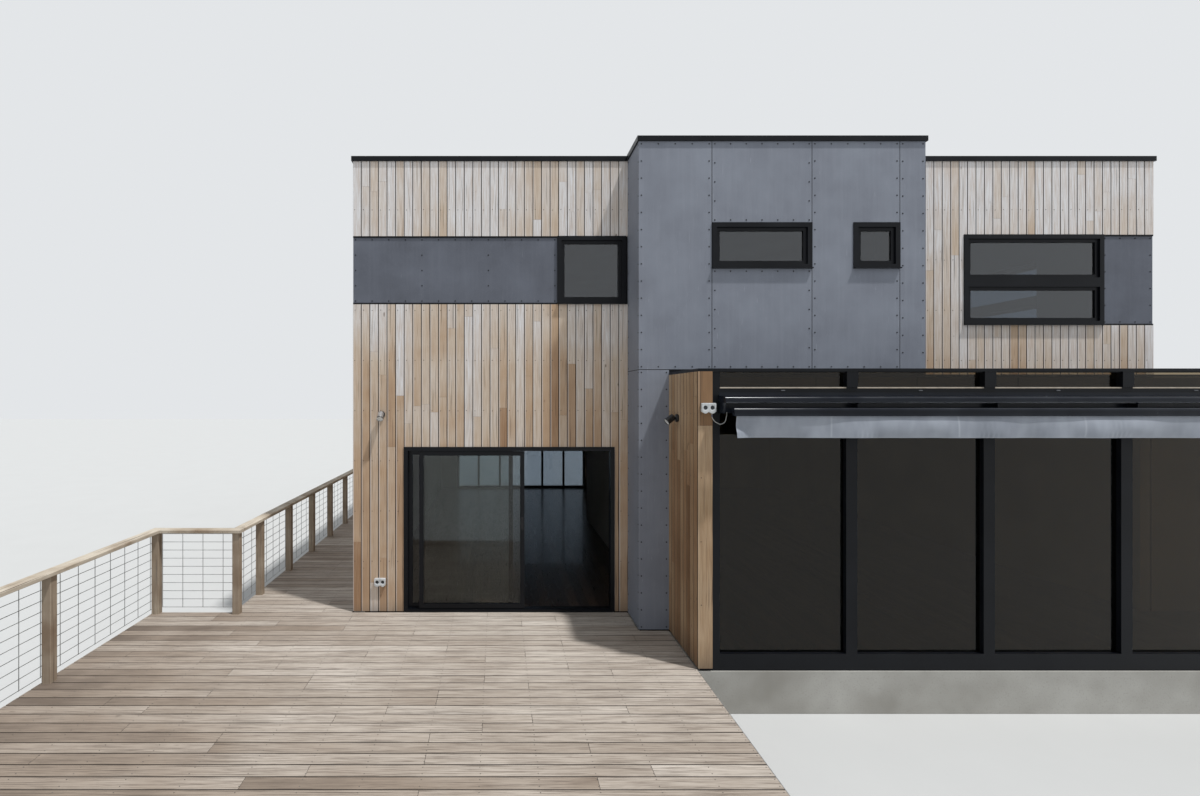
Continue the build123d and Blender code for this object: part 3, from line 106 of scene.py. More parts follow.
# Screws and seals of the cement sheets
SCREW_R = 0.0085
SCREW_T = 0.0035
SCREW_PITCH = 0.208
SCREW_ROW_PITCH = 0.185
SCREW_INSET = 0.03
BAND_SCREW_PITCH = 0.215
BAND_SCREW_INSET = 0.045
LONG_SHEET = 1.5
UPPER_SHEETS = 3.2
SHEET_T = 0.012
SHEET_BURIED = 0.03
WIDEST_JOINT = 0.01
SEAL_BACK = 0.003
SEAL_ARRIS = 0.0005

# Roof rolls and floor boards
ROLL_W = 1.05
FLOOR_BOARD_W = 0.13

# Fittings, as the CAD model has them
SPOT_BASE_R = 0.045
SPOT_BASE_T = 0.026
SPOT_REACH = 0.072
SPOT_LEAN = 0.022
SPOT_HEAD_R = 0.038
OUTLET_RECESS = 0.014
MOULDING_ARRIS = 0.0012
SHARP_ANGLE = math.radians(35)
SLEEVE_BELOW = 0.062
SLEEVE_H = 0.022
SLEEVE_REACH = 0.02

# Awning cloth
CLOTH_CELL = 0.008
CLOTH_T = 0.001
CLOTH_HELD = 0.05
CLOTH_SEAMS = (-0.03, 1.21, 2.45, 3.70, 4.94)
SEAM_HALF = 0.008
SEAM_T = 0.0012
THREAD_WAVES = 2600
CREASE_TOP = -0.05
CREASE_FOOT = 0.185

# Glazed front trim
MULLION_COVER = 0.016
BEAD_H = 0.013
BEAD_PROUD = 0.003
WEEP_BELOW = 0.03
WEEP_W = 0.038
WEEP_H = 0.009


# Making shapes
def select(*pieces):
    """Selects these pieces alone, the first of them active."""
    bpy.ops.object.select_all(action="DESELECT")
    for piece in pieces:
        piece.select_set(True)
    bpy.context.view_layer.objects.active = pieces[0]


def edit():
    bpy.ops.object.mode_set(mode="EDIT")
    bpy.ops.mesh.select_all(action="SELECT")


def done():
    bpy.ops.object.mode_set(mode="OBJECT")


def settled(name, size=(1, 1, 1)):
    """The piece made last, named, with its place, turn and size taken into its points."""
    piece = bpy.context.object
    piece.name = name
    piece.scale = size
    bpy.ops.object.transform_apply(location=True, rotation=True, scale=True)
    return piece


def pick(piece, kind, test):
    """Selects, in edit mode, the faces or edges that pass a test."""
    bpy.ops.mesh.select_mode(type=kind)
    bpy.ops.mesh.select_all(action="DESELECT")
    shape = bmesh.from_edit_mesh(piece.data)
    for part in shape.faces if kind == "FACE" else shape.edges:
        if test(part):
            part.select_set(True)
    bmesh.update_edit_mesh(piece.data)


def block(name, low, high):
    """A box between two corners, ready to be shaped."""
    low, high = Vector(low), Vector(high)
    bpy.ops.mesh.primitive_cube_add(size=1, location=(low + high) / 2)
    return settled(name, high - low)


def soften(piece, width, segments=1):
    """Bevels every edge of a piece."""
    edit()
    bpy.ops.mesh.bevel(offset=width, segments=segments)
    done()
    return piece


def plank(width, thick, lip, arris):
    """One board a metre high on the origin, facing -Y, its lip under the next."""
    face = width - lip
    board = block("plank", (0, 0, 0), (face, thick, 1))
    edit()
    if lip:
        bpy.ops.mesh.bisect(plane_co=(0, GROOVE_DEPTH, 0), plane_no=(0, 1, 0))
        behind = lambda part: part.normal.x > 0.9 and part.calc_center_median().y > GROOVE_DEPTH
        pick(board, "FACE", behind)
        bpy.ops.mesh.extrude_region_move(TRANSFORM_OT_translate={"value": (lip, 0, 0)})

    def upright_in_front(edge):
        first, last = (vert.co for vert in edge.verts)
        return abs(first.z - last.z) > 0.5 and max(first.y, last.y) < arris / 2

    pick(board, "EDGE", upright_in_front)
    bpy.ops.mesh.bevel(offset=arris, segments=1)
    done()
    return board


def button(radius, height, sides, socket):
    """A round head on the origin, facing -Y, with a socket if it is a screw."""
    stand = {"location": (0, -height / 2, 0), "rotation": (math.pi / 2, 0, 0)}
    bpy.ops.mesh.primitive_cylinder_add(vertices=sides, radius=radius, depth=height, **stand)
    head = settled("head")
    edit()
    if socket:
        pick(head, "FACE", lambda part: part.normal.y < -0.9)
        bpy.ops.mesh.inset(thickness=radius * 0.55)
        bpy.ops.mesh.extrude_region_move(TRANSFORM_OT_translate={"value": (0, height / 2, 0)})

    def on_rim(vert):
        return vert.co.y < -height * 0.9 and math.hypot(vert.co.x, vert.co.z) > radius * 0.9

    pick(head, "EDGE", lambda part: all(on_rim(vert) for vert in part.verts))
    bpy.ops.mesh.bevel(offset=height * 0.45, segments=1)
    done()
    return head


def points_of(piece):
    found = np.empty(len(piece.data.vertices) * 3)
    piece.data.vertices.foreach_get("co", found)
    return found.reshape(-1, 3)


def moved(points, matrix):
    turn = np.array(matrix)
    return points @ turn[:3, :3].T + turn[:3, 3]


def joined(name, template, copies, **values):
    """The template once for each set of points, as one mesh, with point values."""
    count = len(template.data.vertices)
    faces = [list(face.vertices) for face in template.data.polygons]
    everywhere = [[i + n * count for i in face] for n in range(len(copies)) for face in faces]
    mesh = bpy.data.meshes.new(name)
    mesh.from_pydata(np.concatenate(copies).tolist(), [], everywhere)
    for label, rows in values.items():
        mark(mesh, label, np.concatenate(rows))
    return linked(name, mesh)


def mark(mesh, label, values):
    """Gives each point of a mesh a number that its material reads."""
    mesh.attributes.new(label, "FLOAT", "POINT").data.foreach_set("value", values)


def linked(name, data):
    made = bpy.data.objects.new(name, data)
    bpy.context.scene.collection.objects.link(made)
    return made


def merged(name, pieces):
    select(*pieces)
    if len(pieces) > 1:
        bpy.ops.object.join()
    pieces[0].name = name
    return pieces[0]


def forget(piece):
    bpy.data.objects.remove(piece)


def solids(node):
    """The low and the high corner of each solid of a CAD node."""
    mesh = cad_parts[node].data
    keys = [tuple(round(value, 5) for value in vert.co) for vert in mesh.vertices]
    home = {key: key for key in keys}

    def root(key):
        while home[key] != key:
            home[key] = home[home[key]]
            key = home[key]
        return key

    for face in mesh.polygons:
        first = root(keys[face.vertices[0]])
        for index in face.vertices[1:]:
            home[root(keys[index])] = first
    groups = {}
    for key in home:
        groups.setdefault(root(key), []).append(key)
    spans = [(np.min(group, axis=0), np.max(group, axis=0)) for group in groups.values()]
    corners = [(Vector(low), Vector(high)) for low, high in spans]
    return sorted(corners, key=lambda span: tuple(span[0]))


# Node groups and materials
def colour(red, green, blue):
    """A colour given in steps of a screen, 0 to 255, as Blender's linear values."""
    steps = [value / 255 for value in (red, green, blue)]
    return tuple(v / 12.92 if v <= 0.04045 else ((v + 0.055) / 1.055) ** 2.4 for v in steps) + (1,)


class Wiring:
    """Short calls for the nodes of one material or group."""

    def __init__(self, tree):
        self.tree = tree

    def node(self, kind, inputs=(), **settings):
        made = self.tree.nodes.new(kind if "Node" in kind else "ShaderNode" + kind)
        for label, value in settings.items():
            setattr(made, label, value)
        for label, value in dict(inputs).items():
            self.plug(made.inputs[label], value)
        return made

    def plug(self, socket, value):
        """Links or sets a socket; a colour of three values is in steps of a screen."""
        if isinstance(value, bpy.types.NodeSocket):
            self.tree.links.new(value, socket)
        elif socket.type == "RGBA" and len(value) == 3:
            socket.default_value = colour(*value)
        else:
            socket.default_value = value

    def place(self):
        return self.node("TexCoord").outputs["Object"]

    def attribute(self, name):
        return self.node("Attribute", attribute_name=name).outputs["Fac"]

    def stretched(self, vector, scale):
        return self.node("Mapping", {"Vector": vector, "Scale": scale}).outputs["Vector"]

    def split(self, vector):
        return self.node("SeparateXYZ", {0: vector}).outputs

    def vector(self, x, y, z):
        return self.node("CombineXYZ", {0: x, 1: y, 2: z}).outputs[0]

    def noise(self, vector, scale, detail, roughness):
        inputs = {"Vector": vector, "Scale": scale, "Detail": detail, "Roughness": roughness}
        return self.node("TexNoise", inputs).outputs["Fac"]

    def calc(self, operation, first, second=0):
        return self.node("Math", {0: first, 1: second}, operation=operation).outputs[0]

    def times(self, first, second):
        return self.calc("MULTIPLY", first, second)

    def total(self, first, *others):
        for other in others:
            first = self.calc("ADD", first, other)
        return first

    def span(self, value, low, high, start=0, end=1):
        """Maps low to high onto start to end."""
        inputs = {"Value": value, "From Min": low, "From Max": high, "To Min": start, "To Max": end}
        return self.node("MapRange", inputs).outputs["Result"]

    def mix(self, share, first, second):
        return self.node("Mix", {0: share, 6: first, 7: second}, data_type="RGBA").outputs[2]

    def over(self, shade, *coats):
        """Lays colours over a shade, each through its mask."""
        for mask, coat in coats:
            shade = self.mix(mask, shade, coat)
        return shade

    def ramp(self, value, stops):
        made = self.node("ValToRGB", {"Fac": value})
        bar = made.color_ramp.elements
        while len(bar) < len(stops):
            bar.new(0.5)
        for element, (position, shade) in zip(bar, stops):
            element.position = position
            element.color = colour(*shade)
        return made.outputs["Color"]

    def bump(self, height, strength, distance):
        inputs = {"Height": height, "Strength": strength, "Distance": distance}
        return self.node("Bump", inputs).outputs["Normal"]

    def toward(self, first, second):
        """The dot product of two directions."""
        made = self.node("VectorMath", {0: first, 1: second}, operation="DOT_PRODUCT")
        return made.outputs["Value"]

    def group(self, tree, **inputs):
        return self.node("Group", inputs, node_tree=tree).outputs


class Material(Wiring):
    """A new material, from its shader's numbers and its patterns."""

    def __init__(self, name, gloss=0.5, **constants):
        self.made = bpy.data.materials.new(name)
        self.made.use_nodes = True
        super().__init__(self.made.node_tree)
        self.wire({"Specular_IOR_Level": gloss, **constants})

    def wire(self, inputs):
        shader = self.tree.nodes["Principled BSDF"]
        for label, value in inputs.items():
            self.plug(shader.inputs[label.replace("_", " ")], value)

    def shaded(self, shade, bump=None, **patterns):
        if bump:
            patterns["Normal"] = self.bump(*bump)
        self.wire({"Base_Color": shade, **patterns})
        return self.made


def new_group(name, inputs, outputs, fill):
    """A node group with number or vector inputs and number outputs."""
    tree = bpy.data.node_groups.new(name, "ShaderNodeTree")
    for label, value in inputs.items():
        kind = "NodeSocketVector" if value is None else "NodeSocketFloat"
        socket = tree.interface.new_socket(label, in_out="INPUT", socket_type=kind)
        if value is not None:
            socket.default_value = value
    for label in outputs:
        tree.interface.new_socket(label, in_out="OUTPUT", socket_type="NodeSocketFloat")
    net = Wiring(tree)
    entry = net.node("NodeGroupInput")
    leave = net.node("NodeGroupOutput")
    for label, value in fill(net, entry.outputs).items():
        net.plug(leave.inputs[label], value)
    return tree


def timber_pattern(net, given):
    """Grain along the vector's Z: fine lines, a broad figure, cracks and knots."""
    offset = net.times(given["Shift"], 37)
    x, y, z = net.split(given["Vector"])
    shifted = net.vector(net.total(x, offset), y, net.total(z, offset))

    def drawn(share, *noise):
        return net.noise(net.stretched(shifted, (1, 1, share)), *noise)

    lines, figure = drawn(0.025, 130, 4, 0.7), drawn(0.06, 42, 3, 0.6)
    split, spots = drawn(0.015, 75, 1, 0.4), drawn(0.4, 16, 1, 0.4)
    cracks = net.span(split, 0.34, 0.3)
    return {
        "Lines": lines,
        "Figure": figure,
        "Cracks": cracks,
        "Knots": net.span(spots, 0.76, 0.82),
        "Height": net.calc("SUBTRACT", net.times(lines, 0.5), cracks),
    }


def speckle_pattern(net, given):
    """Fine grit and soft clouds."""
    place = given["Vector"]
    return {
        "Grit": net.noise(place, given["Grit"], 2, 0.7),
        "Clouds": net.noise(place, given["Clouds"], 3, 0.6),
    }


def runs_pattern(net, given):
    """Upright rain marks and short scratches."""
    marks = net.noise(net.stretched(given["Vector"], (1, 1, 0.035)), 34, 4, 0.65)
    scratch = net.noise(net.stretched(given["Vector"], (1.3, 1.3, 0.12)), 60, 0, 0)
    return {"Marks": net.span(marks, 0.45, 0.8), "Scratches": net.span(scratch, 0.8, 0.84)}


def edge_pattern(net, given):
    """A mask that is 1 on a piece's sharp outer edges."""
    rounded = net.node("Bevel", {"Radius": given["Width"]}, samples=4).outputs["Normal"]
    plain = net.node("NewGeometry").outputs["Normal"]
    return {"Edge": net.span(net.toward(rounded, plain), 0.995, 0.85)}


GRAIN = ("Lines", "Figure", "Cracks", "Knots", "Height")
TIMBER = new_group("timber", {"Vector": None, "Shift": 0}, GRAIN, timber_pattern)
SPECKLE = new_group(
    "speckle", {"Vector": None, "Grit": 300, "Clouds": 3}, ("Grit", "Clouds"), speckle_pattern
)
RUNS = new_group("rain_runs", {"Vector": None}, ("Marks", "Scratches"), runs_pattern)
EDGES = new_group("worn_edges", {"Width": 0.01}, ("Edge",), edge_pattern)


def turned(net, axis):
    """Object coordinates with an axis laid along Z, where grain runs."""
    x, y, z = net.split(net.place())
    orders = {"X": (y, z, x), "Y": (z, x, y), "Z": (x, y, z)}
    return net.vector(*orders[axis])


def mottled(net, dark, pale, grit, clouds):
    """Speckle, and a shade from dark to pale by its clouds."""
    speckle = net.group(SPECKLE, Vector=net.place(), Grit=grit, Clouds=clouds)
    return speckle, net.mix(net.span(speckle["Clouds"], 0.3, 0.7), dark, pale)


def weathered_boards(name, silver, straw, tan, umber):
    """Upright boards: silver high up, browner low down, with painted shade in each groove and a painted
    highlight along each board's left edge.
    """
    net = Material(name, gloss=0.25)
    tone, across = net.attribute("tone"), net.attribute("across")
    grain = net.group(TIMBER, Vector=net.place(), Shift=tone)
    height = net.split(net.place())[2]
    clouds = net.noise(net.place(), 0.9, 3, 0.6)
    rise = net.span(height, FLOOR_Z + 1.8, FLOOR_Z + 5.4, -0.2, 0.46)
    silvered = net.total(tone, rise, net.span(clouds, 0.3, 0.7, -0.2, 0.2))
    foot = net.times(net.span(height, FLOOR_Z + 0.55, FLOOR_Z), clouds)
    # painted shade: each board's left edge, beside the groove, is darkened where the groove lies in
    # shadow
    joint = net.span(across, 0.011, 0.004, 0, 0.8)
    shade = net.over(
        net.ramp(silvered, ((0, umber), (0.3, tan), (0.55, straw), (1, silver))),
        (net.span(grain["Figure"], 0.42, 0.7, 0, 0.42), tan),
        (net.span(grain["Lines"], 0.58, 0.34, 0, 0.42), umber),
        (net.times(grain["Cracks"], 0.6), (74, 62, 52)),
        (net.times(grain["Knots"], 0.7), (92, 74, 58)),
        # painted highlight: a paler strip along each board's left edge, where light catches it
        (net.span(across, 0.13, 0.1, 0, 0.35), silver),
        (net.span(foot, 0.28, 0.62, 0, 0.7), (70, 62, 55)),
        # painted shade: the groove's floor, which is the same timber as the board, is darkened as if in
        # shadow
        (net.calc("MAXIMUM", net.span(across, 0.906, 0.917), joint), (46, 33, 25)),
    )
    rough = net.span(grain["Lines"], 0.3, 0.7, 0.72, 0.9)
    return net.shaded(shade, Roughness=rough, bump=(grain["Height"], 0.55, 0.0012))


def weathered_decking():
    """Deck boards: darker to the front, with painted shade darkening them to the left and painted shade
    on their sides in the gaps.
    """
    silver, drab, brown, dark = (204, 195, 184), (173, 162, 150), (142, 128, 114), (92, 80, 70)
    net = Material("weathered_decking", gloss=0.3)
    tone = net.attribute("tone")
    grain = net.group(TIMBER, Vector=turned(net, "X"), Shift=tone)
    x, y, z = net.split(net.place())
    clouds = net.noise(net.place(), 0.8, 3, 0.6)
    # painted shade: the boards darken towards the left, where shade falls on the deck
    left = net.span(x, -7.6, -4.2, -0.34, 0.1)
    near = net.span(y, -3.6, -0.3, -0.06, 0.12)
    tone_and_shade = net.total(tone, left, near, net.span(clouds, 0.3, 0.7, -0.16, 0.16))
    shade = net.over(
        net.ramp(tone_and_shade, ((0, dark), (0.25, brown), (0.55, drab), (1, silver))),
        (net.span(grain["Figure"], 0.42, 0.7, 0, 0.34), brown),
        (net.span(grain["Lines"], 0.54, 0.36, 0, 0.7), dark),
        (net.times(grain["Cracks"], 0.4), (52, 42, 34)),
        (net.times(grain["Knots"], 0.5), dark),
        # painted shade: the boards' sides just below the top are darkened in the gaps between them
        (net.span(z, FLOOR_Z - 0.0005, FLOOR_Z - 0.003), (34, 28, 23)),
    )
    rough = net.span(grain["Lines"], 0.3, 0.7, 0.66, 0.86)
    return net.shaded(shade, Roughness=rough, bump=(grain["Height"], 0.6, 0.0015))


def timber(name, axis, pale, dark, wear):
    """Sawn timber, its grain along one axis, with paler edges from wear."""
    net = Material(name, Roughness=0.8, gloss=0.25)
    grain = net.group(TIMBER, Vector=turned(net, axis), Shift=0.3)
    clouds = net.noise(net.place(), 1.7, 3, 0.6)
    shade = net.over(
        net.mix(net.span(clouds, 0.3, 0.7), dark, pale),
        (net.span(grain["Figure"], 0.35, 0.7, 0, 0.55), dark),
        (net.span(grain["Lines"], 0.62, 0.35, 0, 0.35), dark),
        (net.times(grain["Cracks"], 0.7), (60, 50, 42)),
        (net.times(net.group(EDGES, Width=0.006)["Edge"], wear), pale),
    )
    return net.shaded(shade, bump=(grain["Height"], 0.5, 0.0015))


def handrail_timber():
    """Silvered rail, its grain along Y or, in two lengths, along X."""
    pale, dark = (203, 194, 178), (140, 122, 102)
    lengths = solids("handrail")
    net = Material("handrail_timber", Roughness=0.82, gloss=0.25)
    x, y, z = net.split(net.place())
    turns = 0
    for low, high in (lengths[1], lengths[3]):
        within = net.times(net.calc("GREATER_THAN", y, low.y), net.calc("LESS_THAN", y, high.y))
        inside = net.times(net.calc("GREATER_THAN", x, low.x), within)
        turns = net.calc("MAXIMUM", inside, turns)
    ways = {0: turns, 4: turned(net, "Y"), 5: turned(net, "X")}
    grain_place = net.node("Mix", ways, data_type="VECTOR").outputs[1]
    grain = net.group(TIMBER, Vector=grain_place, Shift=0.7)
    clouds = net.noise(net.place(), 2.2, 3, 0.6)
    shade = net.over(
        net.mix(net.span(clouds, 0.25, 0.6), dark, pale),
        (net.span(grain["Figure"], 0.4, 0.75, 0, 0.45), dark),
        (net.span(grain["Lines"], 0.62, 0.35, 0, 0.35), dark),
        (net.times(grain["Cracks"], 0.8), (70, 58, 48)),
    )
    return net.shaded(shade, bump=(grain["Height"], 0.6, 0.0015))


def cement_sheet(name, base, pale, dark):
    """Grey cement sheet: grit, clouds, rain marks and paler rubbed edges."""
    net = Material(name, gloss=0.35)
    speckle, shade = mottled(net, dark, base, 420, 1.6)
    runs = net.group(RUNS, Vector=net.place())
    shade = net.over(
        shade,
        (net.span(speckle["Grit"], 0.5, 0.75, 0, 0.55), pale),
        (net.span(speckle["Grit"], 0.42, 0.25, 0, 0.6), dark),
        (net.times(runs["Marks"], 0.15), pale),
        (net.times(runs["Scratches"], 0.5), pale),
        (net.times(net.group(EDGES, Width=0.012)["Edge"], 0.25), pale),
    )
    rough = net.span(speckle["Clouds"], 0.3, 0.7, 0.62, 0.78)
    return net.shaded(shade, Roughness=rough, bump=(speckle["Grit"], 0.25, 0.0006))


def powder_coat(name, base, dust, roughness=0.36):
    """Powder-coated metal: orange peel, faint dust and paler edges."""
    net = Material(name, gloss=0.2)
    speckle = net.group(SPECKLE, Vector=net.place(), Grit=650, Clouds=2.4)
    shade = net.over(
        net.mix(net.span(speckle["Clouds"], 0.35, 0.75, 0, 0.22), base, dust),
        (net.times(net.group(EDGES, Width=0.003)["Edge"], 0.25), dust),
    )
    rough = net.span(speckle["Clouds"], 0.3, 0.7, roughness - 0.06, roughness + 0.1)
    return net.shaded(shade, Roughness=rough, bump=(speckle["Grit"], 0.12, 0.0004))


def glazing(name, tint, ior):
    """Glass with a faint film of dust."""
    net = Material(name, Roughness=0, Transmission_Weight=1, IOR=ior)
    clouds = net.noise(net.place(), 1.3, 3, 0.6)
    return net.shaded(net.mix(net.span(clouds, 0.35, 0.8, 1, 0.93), (60, 60, 60), tint))


def plaster(name, outward):
    """A wall's painted inside, and the black wrap on its covered side."""
    net = Material(name, Roughness=0.7, gloss=0.3)
    speckle, paint = mottled(net, (160, 157, 151), (176, 173, 167), 240, 0.8)
    facing_out = net.toward(net.node("NewGeometry").outputs["Normal"], outward)
    shade = net.mix(net.calc("GREATER_THAN", facing_out, 0.5), paint, (5, 5, 6))
    return net.shaded(shade, bump=(speckle["Grit"], 0.1, 0.0005))


def mineral(name, pale, dark, grit, bump, roughness):
    """Concrete or a bare floor: grit, broad stains and a rough face."""
    net = Material(name, Roughness=roughness, gloss=0.25)
    speckle, shade = mottled(net, dark, pale, grit, 1.1)
    shade = net.mix(net.span(speckle["Grit"], 0.45, 0.25, 0, 0.6), shade, dark)
    return net.shaded(shade, bump=(speckle["Grit"], bump, 0.002))


def roof_membrane():
    """Grey membrane in rolls, each lapped over the next."""
    pale, dark, lap = (124, 126, 128), (98, 100, 103), (84, 86, 88)
    net = Material("roof_membrane", Roughness=0.8, gloss=0.25)
    speckle = net.group(SPECKLE, Vector=net.place(), Grit=120, Clouds=0.9)
    step = net.calc("FRACT", net.calc("DIVIDE", net.split(net.place())[0], ROLL_W))
    shade = net.over(
        net.mix(net.span(speckle["Clouds"], 0.35, 0.65), dark, pale),
        (net.span(speckle["Grit"], 0.45, 0.25, 0, 0.5), dark),
        (net.span(step, 0.016, 0.012), lap),
    )
    height = net.total(net.span(step, 0, 0.012), net.times(speckle["Grit"], 0.2))
    return net.shaded(shade, bump=(height, 0.4, 0.003))


def galvanised_steel():
    net = Material("galvanised_steel", Metallic=0.8)
    speckle, shade = mottled(net, (128, 130, 130), (178, 180, 180), 160, 7)
    shade = net.mix(net.span(speckle["Grit"], 0.5, 0.75, 0, 0.5), shade, (104, 104, 102))
    return net.shaded(shade, Roughness=net.span(speckle["Grit"], 0.3, 0.7, 0.4, 0.6))


def awning_cloth(name):
    """Coated cloth: a fine weave, soft dirt, pale seams and a pale hem."""
    pale, dark, double = (152, 157, 166), (118, 123, 132), (168, 172, 180)
    net = Material(name, Roughness=0.5, Sheen_Weight=0.15, gloss=0.45)
    x, y, z = net.split(net.place())
    threads, weft = (net.calc("SINE", net.times(way, THREAD_WAVES)) for way in (x, z))
    weave = net.times(threads, weft)
    clouds = net.noise(net.stretched(net.place(), (1, 1, 0.4)), 3.1, 3, 0.6)
    doubled = net.calc("MAXIMUM", net.attribute("seam"), net.attribute("hem"))
    shade = net.over(
        net.mix(net.span(clouds, 0.3, 0.7), dark, pale),
        (net.span(weave, -1, 1, 0, 0.14), dark),
        (net.times(doubled, 0.5), double),
    )
    return net.shaded(shade, bump=(weave, 0.15, 0.0004))


def floor_timber():
    """Dark stained floor boards with thin dark joints."""
    net = Material("floor_timber", Coat_Weight=0.2)
    across = net.calc("DIVIDE", net.split(net.place())[0], FLOOR_BOARD_W)
    board = {"W": net.calc("FLOOR", across)}
    tone = net.node("TexWhiteNoise", board, noise_dimensions="1D").outputs["Value"]
    grain = net.group(TIMBER, Vector=turned(net, "Y"), Shift=tone)
    shade = net.over(
        net.mix(tone, (52, 42, 36), (84, 68, 56)),
        (net.span(grain["Lines"], 0.6, 0.35, 0, 0.5), (36, 28, 24)),
        (net.span(net.calc("PINGPONG", across, 0.5), 0.014, 0), (14, 11, 10)),
    )
    return net.shaded(shade, Roughness=net.span(grain["Lines"], 0.3, 0.7, 0.24, 0.36))


def moulded(name, pale, dark, roughness, **constants):
    """Moulded plastic or cast metal: a soft mottle and a fine skin."""
    net = Material(name, Roughness=roughness, **constants)
    speckle, shade = mottled(net, dark, pale, 900, 18)
    return net.shaded(shade, bump=(speckle["Grit"], 0.1, 0.0003))


def wear(piece, *materials):
    piece.data.materials.clear()
    for material in materials:
        piece.data.materials.append(material)
    return piece


def dress(material, names):
    for name in names.split():
        wear(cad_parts[name], material)


def fit_out(piece, slot, *nodes):
    """Puts a piece on the house, in place of CAD nodes; the slot is not used."""
    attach(piece, HOUSE)
    if nodes:
        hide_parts(*nodes)


# Camera, light and floor
def add_camera():
    data = bpy.data.cameras.new("camera")
    data.sensor_width = SENSOR_MM
    data.lens = SENSOR_MM * FOCAL_PX / PHOTO_W
    data.shift_x = (PHOTO_W / 2 - VANISHING_X) / PHOTO_W
    data.shift_y = (VANISHING_Y - PHOTO_H / 2) / PHOTO_W
    data.clip_end = VIEW_END
    camera = linked("camera", data)
    camera.location = (CAMERA_X, CAMERA_Y, FLOOR_Z + CAMERA_OVER_DECK)
    camera.rotation_euler = (math.radians(90), 0, 0)
    bpy.context.scene.camera = camera


def add_light():
    data = bpy.data.lights.new("sun", "SUN")
    data.energy = SUN_STRENGTH
    data.angle = math.radians(SUN_ANGLE)
    linked("sun", data).rotation_euler = Vector(SUN_TRAVEL).to_track_quat("-Z", "Y").to_euler()
    world = bpy.data.worlds.new("studio")
    world.use_nodes = True
    net = Wiring(world.node_tree)
    ray = net.node("LightPath").outputs
    seen = net.calc("MAXIMUM", ray["Is Camera Ray"], ray["Is Glossy Ray"])
    seen = net.calc("MAXIMUM", seen, ray["Is Transmission Ray"])
    lit = [value * SKY_STRENGTH for value in SKY] + [1]
    sky = world.node_tree.nodes["Background"].inputs
    net.plug(sky["Color"], net.mix(seen, lit, BACKDROP + (1,)))
    sky["Strength"].default_value = 1
    bpy.context.scene.world = world


def add_floor():
    bpy.ops.mesh.primitive_plane_add(size=STAGE_SIZE, location=(0, 0, -STAGE_DROP))
    floor = bpy.context.object
    floor.name = "studio_floor"
    wear(floor, mineral("studio_floor", (190, 190, 188), (188, 188, 186), 40, 0, 0.9))


# Boards
class Skin:
    """A flat face, with places counted along it, inwards and up its boards."""

    def __init__(self, origin, along, inward, up=(0, 0, 1)):
        axes = Matrix((along, inward, up)).transposed().to_4x4()
        self.place = Matrix.Translation(origin) @ axes

    def at(self, u, v):
        return self.place @ Matrix.Translation((u, 0, v))


def facing(side, low, high):
    """One side of a box: its skin, its start and end, and its foot and top."""
    along, inward = (Vector(axis) for axis in SIDES[side])
    span = sorted((low.dot(along), high.dot(along)))
    skin = Skin(inward * min(low.dot(inward), high.dot(inward)), along, inward)
    return skin, span, (low.z, high.z)


def free_pieces(left, right, low, high, holes):
    """What openings leave of one board, as left, right, low, high."""
    crossing = [hole for hole in holes if hole[0] < right - SLIVER and hole[1] > left + SLIVER]
    levels = sorted({low, high, *[z for hole in crossing for z in hole[2:] if low < z < high]})
    pieces = []
    for z0, z1 in zip(levels, levels[1:]):
        spans = [(left, right)]
        for h0, h1, h2, h3 in crossing:
            if h2 < z1 - 1e-6 and h3 > z0 + 1e-6:
                cut = []
                for a, b in spans:
                    cut += [(a, min(b, h0))] if h0 - a > SLIVER else []
                    cut += [(max(a, h1), b)] if b - h1 > SLIVER else []
                spans = cut
        for a, b in spans:
            below = [p for p in pieces if p[0] == a and p[1] == b and abs(p[3] - z0) < 1e-6]
            if below:
                below[0][3] = z1
            else:
                pieces.append([a, b, z0, z1])
    return pieces


def board_points(template, skin, width, left, right, low, high):
    """The template stretched to one board's place on a face."""
    points = template.copy()
    points[:, 0] += np.where(points[:, 0] > width / 2, right - left - width, 0)
    points[:, 2] *= high - low
    return moved(points, skin.at(left, low))


def random_joints(low, high):
    """Heights where the boards of one column meet."""
    found = []
    height = low - random.uniform(0, BOARD_LENGTHS[1])
    while height < high:
        height += random.uniform(*BOARD_LENGTHS)
        if low + JOINT_CLEAR < height < high - JOINT_CLEAR:
            found.append(height)
    return found


def random_tone(middle, spread):
    return min(1, max(0, random.gauss(middle, spread)))


def columns_of(span):
    """Where each board of a face starts, and the width that they share."""
    count = round((span[1] - span[0]) / BOARD_PITCH)
    width = (span[1] - span[0]) / count
    return [span[0] + column * width for column in range(count)], width


def clad(rows, skin, templates, span, levels, holes):
    """Fills a face with boards of random lengths, in two rows: with a lip, and plain."""
    low, high = levels
    starts, width = columns_of(span)
    for left in starts:
        right = left + width
        cuts = random_joints(low, high)
        tones = [random_tone(0.52, 0.17) for _ in range(len(cuts) + 1)]
        for a, b, z0, z1 in free_pieces(left, right, low, high, holes):
            plain = left == starts[-1] or b < right - SLIVER
            template = templates[1] if plain else templates[0]
            across = template[:, 0] / BOARD_PITCH * (PLAIN_ACROSS if plain else 1)
            inner = [z for z in cuts if z0 + SHORTEST < z < z1 - SHORTEST]
            for start, end in zip([z0, *inner], [*inner, z1]):
                bottom = start + (BUTT_GAP if start in inner else 0)
                points = board_points(template, skin, BOARD_PITCH, a, b, bottom, end)
                tone = np.full(len(points), tones[sum(z <= start for z in cuts)])
                rows[plain].append((points, tone, across))


def board_piece(name, rows, boards, material, slot, node):
    """Joins one face's boards in place of its CAD skin."""
    halves = []
    for board, row in zip(boards, rows):
        if row:
            points, tone, across = zip(*row)
            halves.append(joined(name, board, points, tone=tone, across=across))
    fit_out(wear(merged(name, halves), material), slot, node)


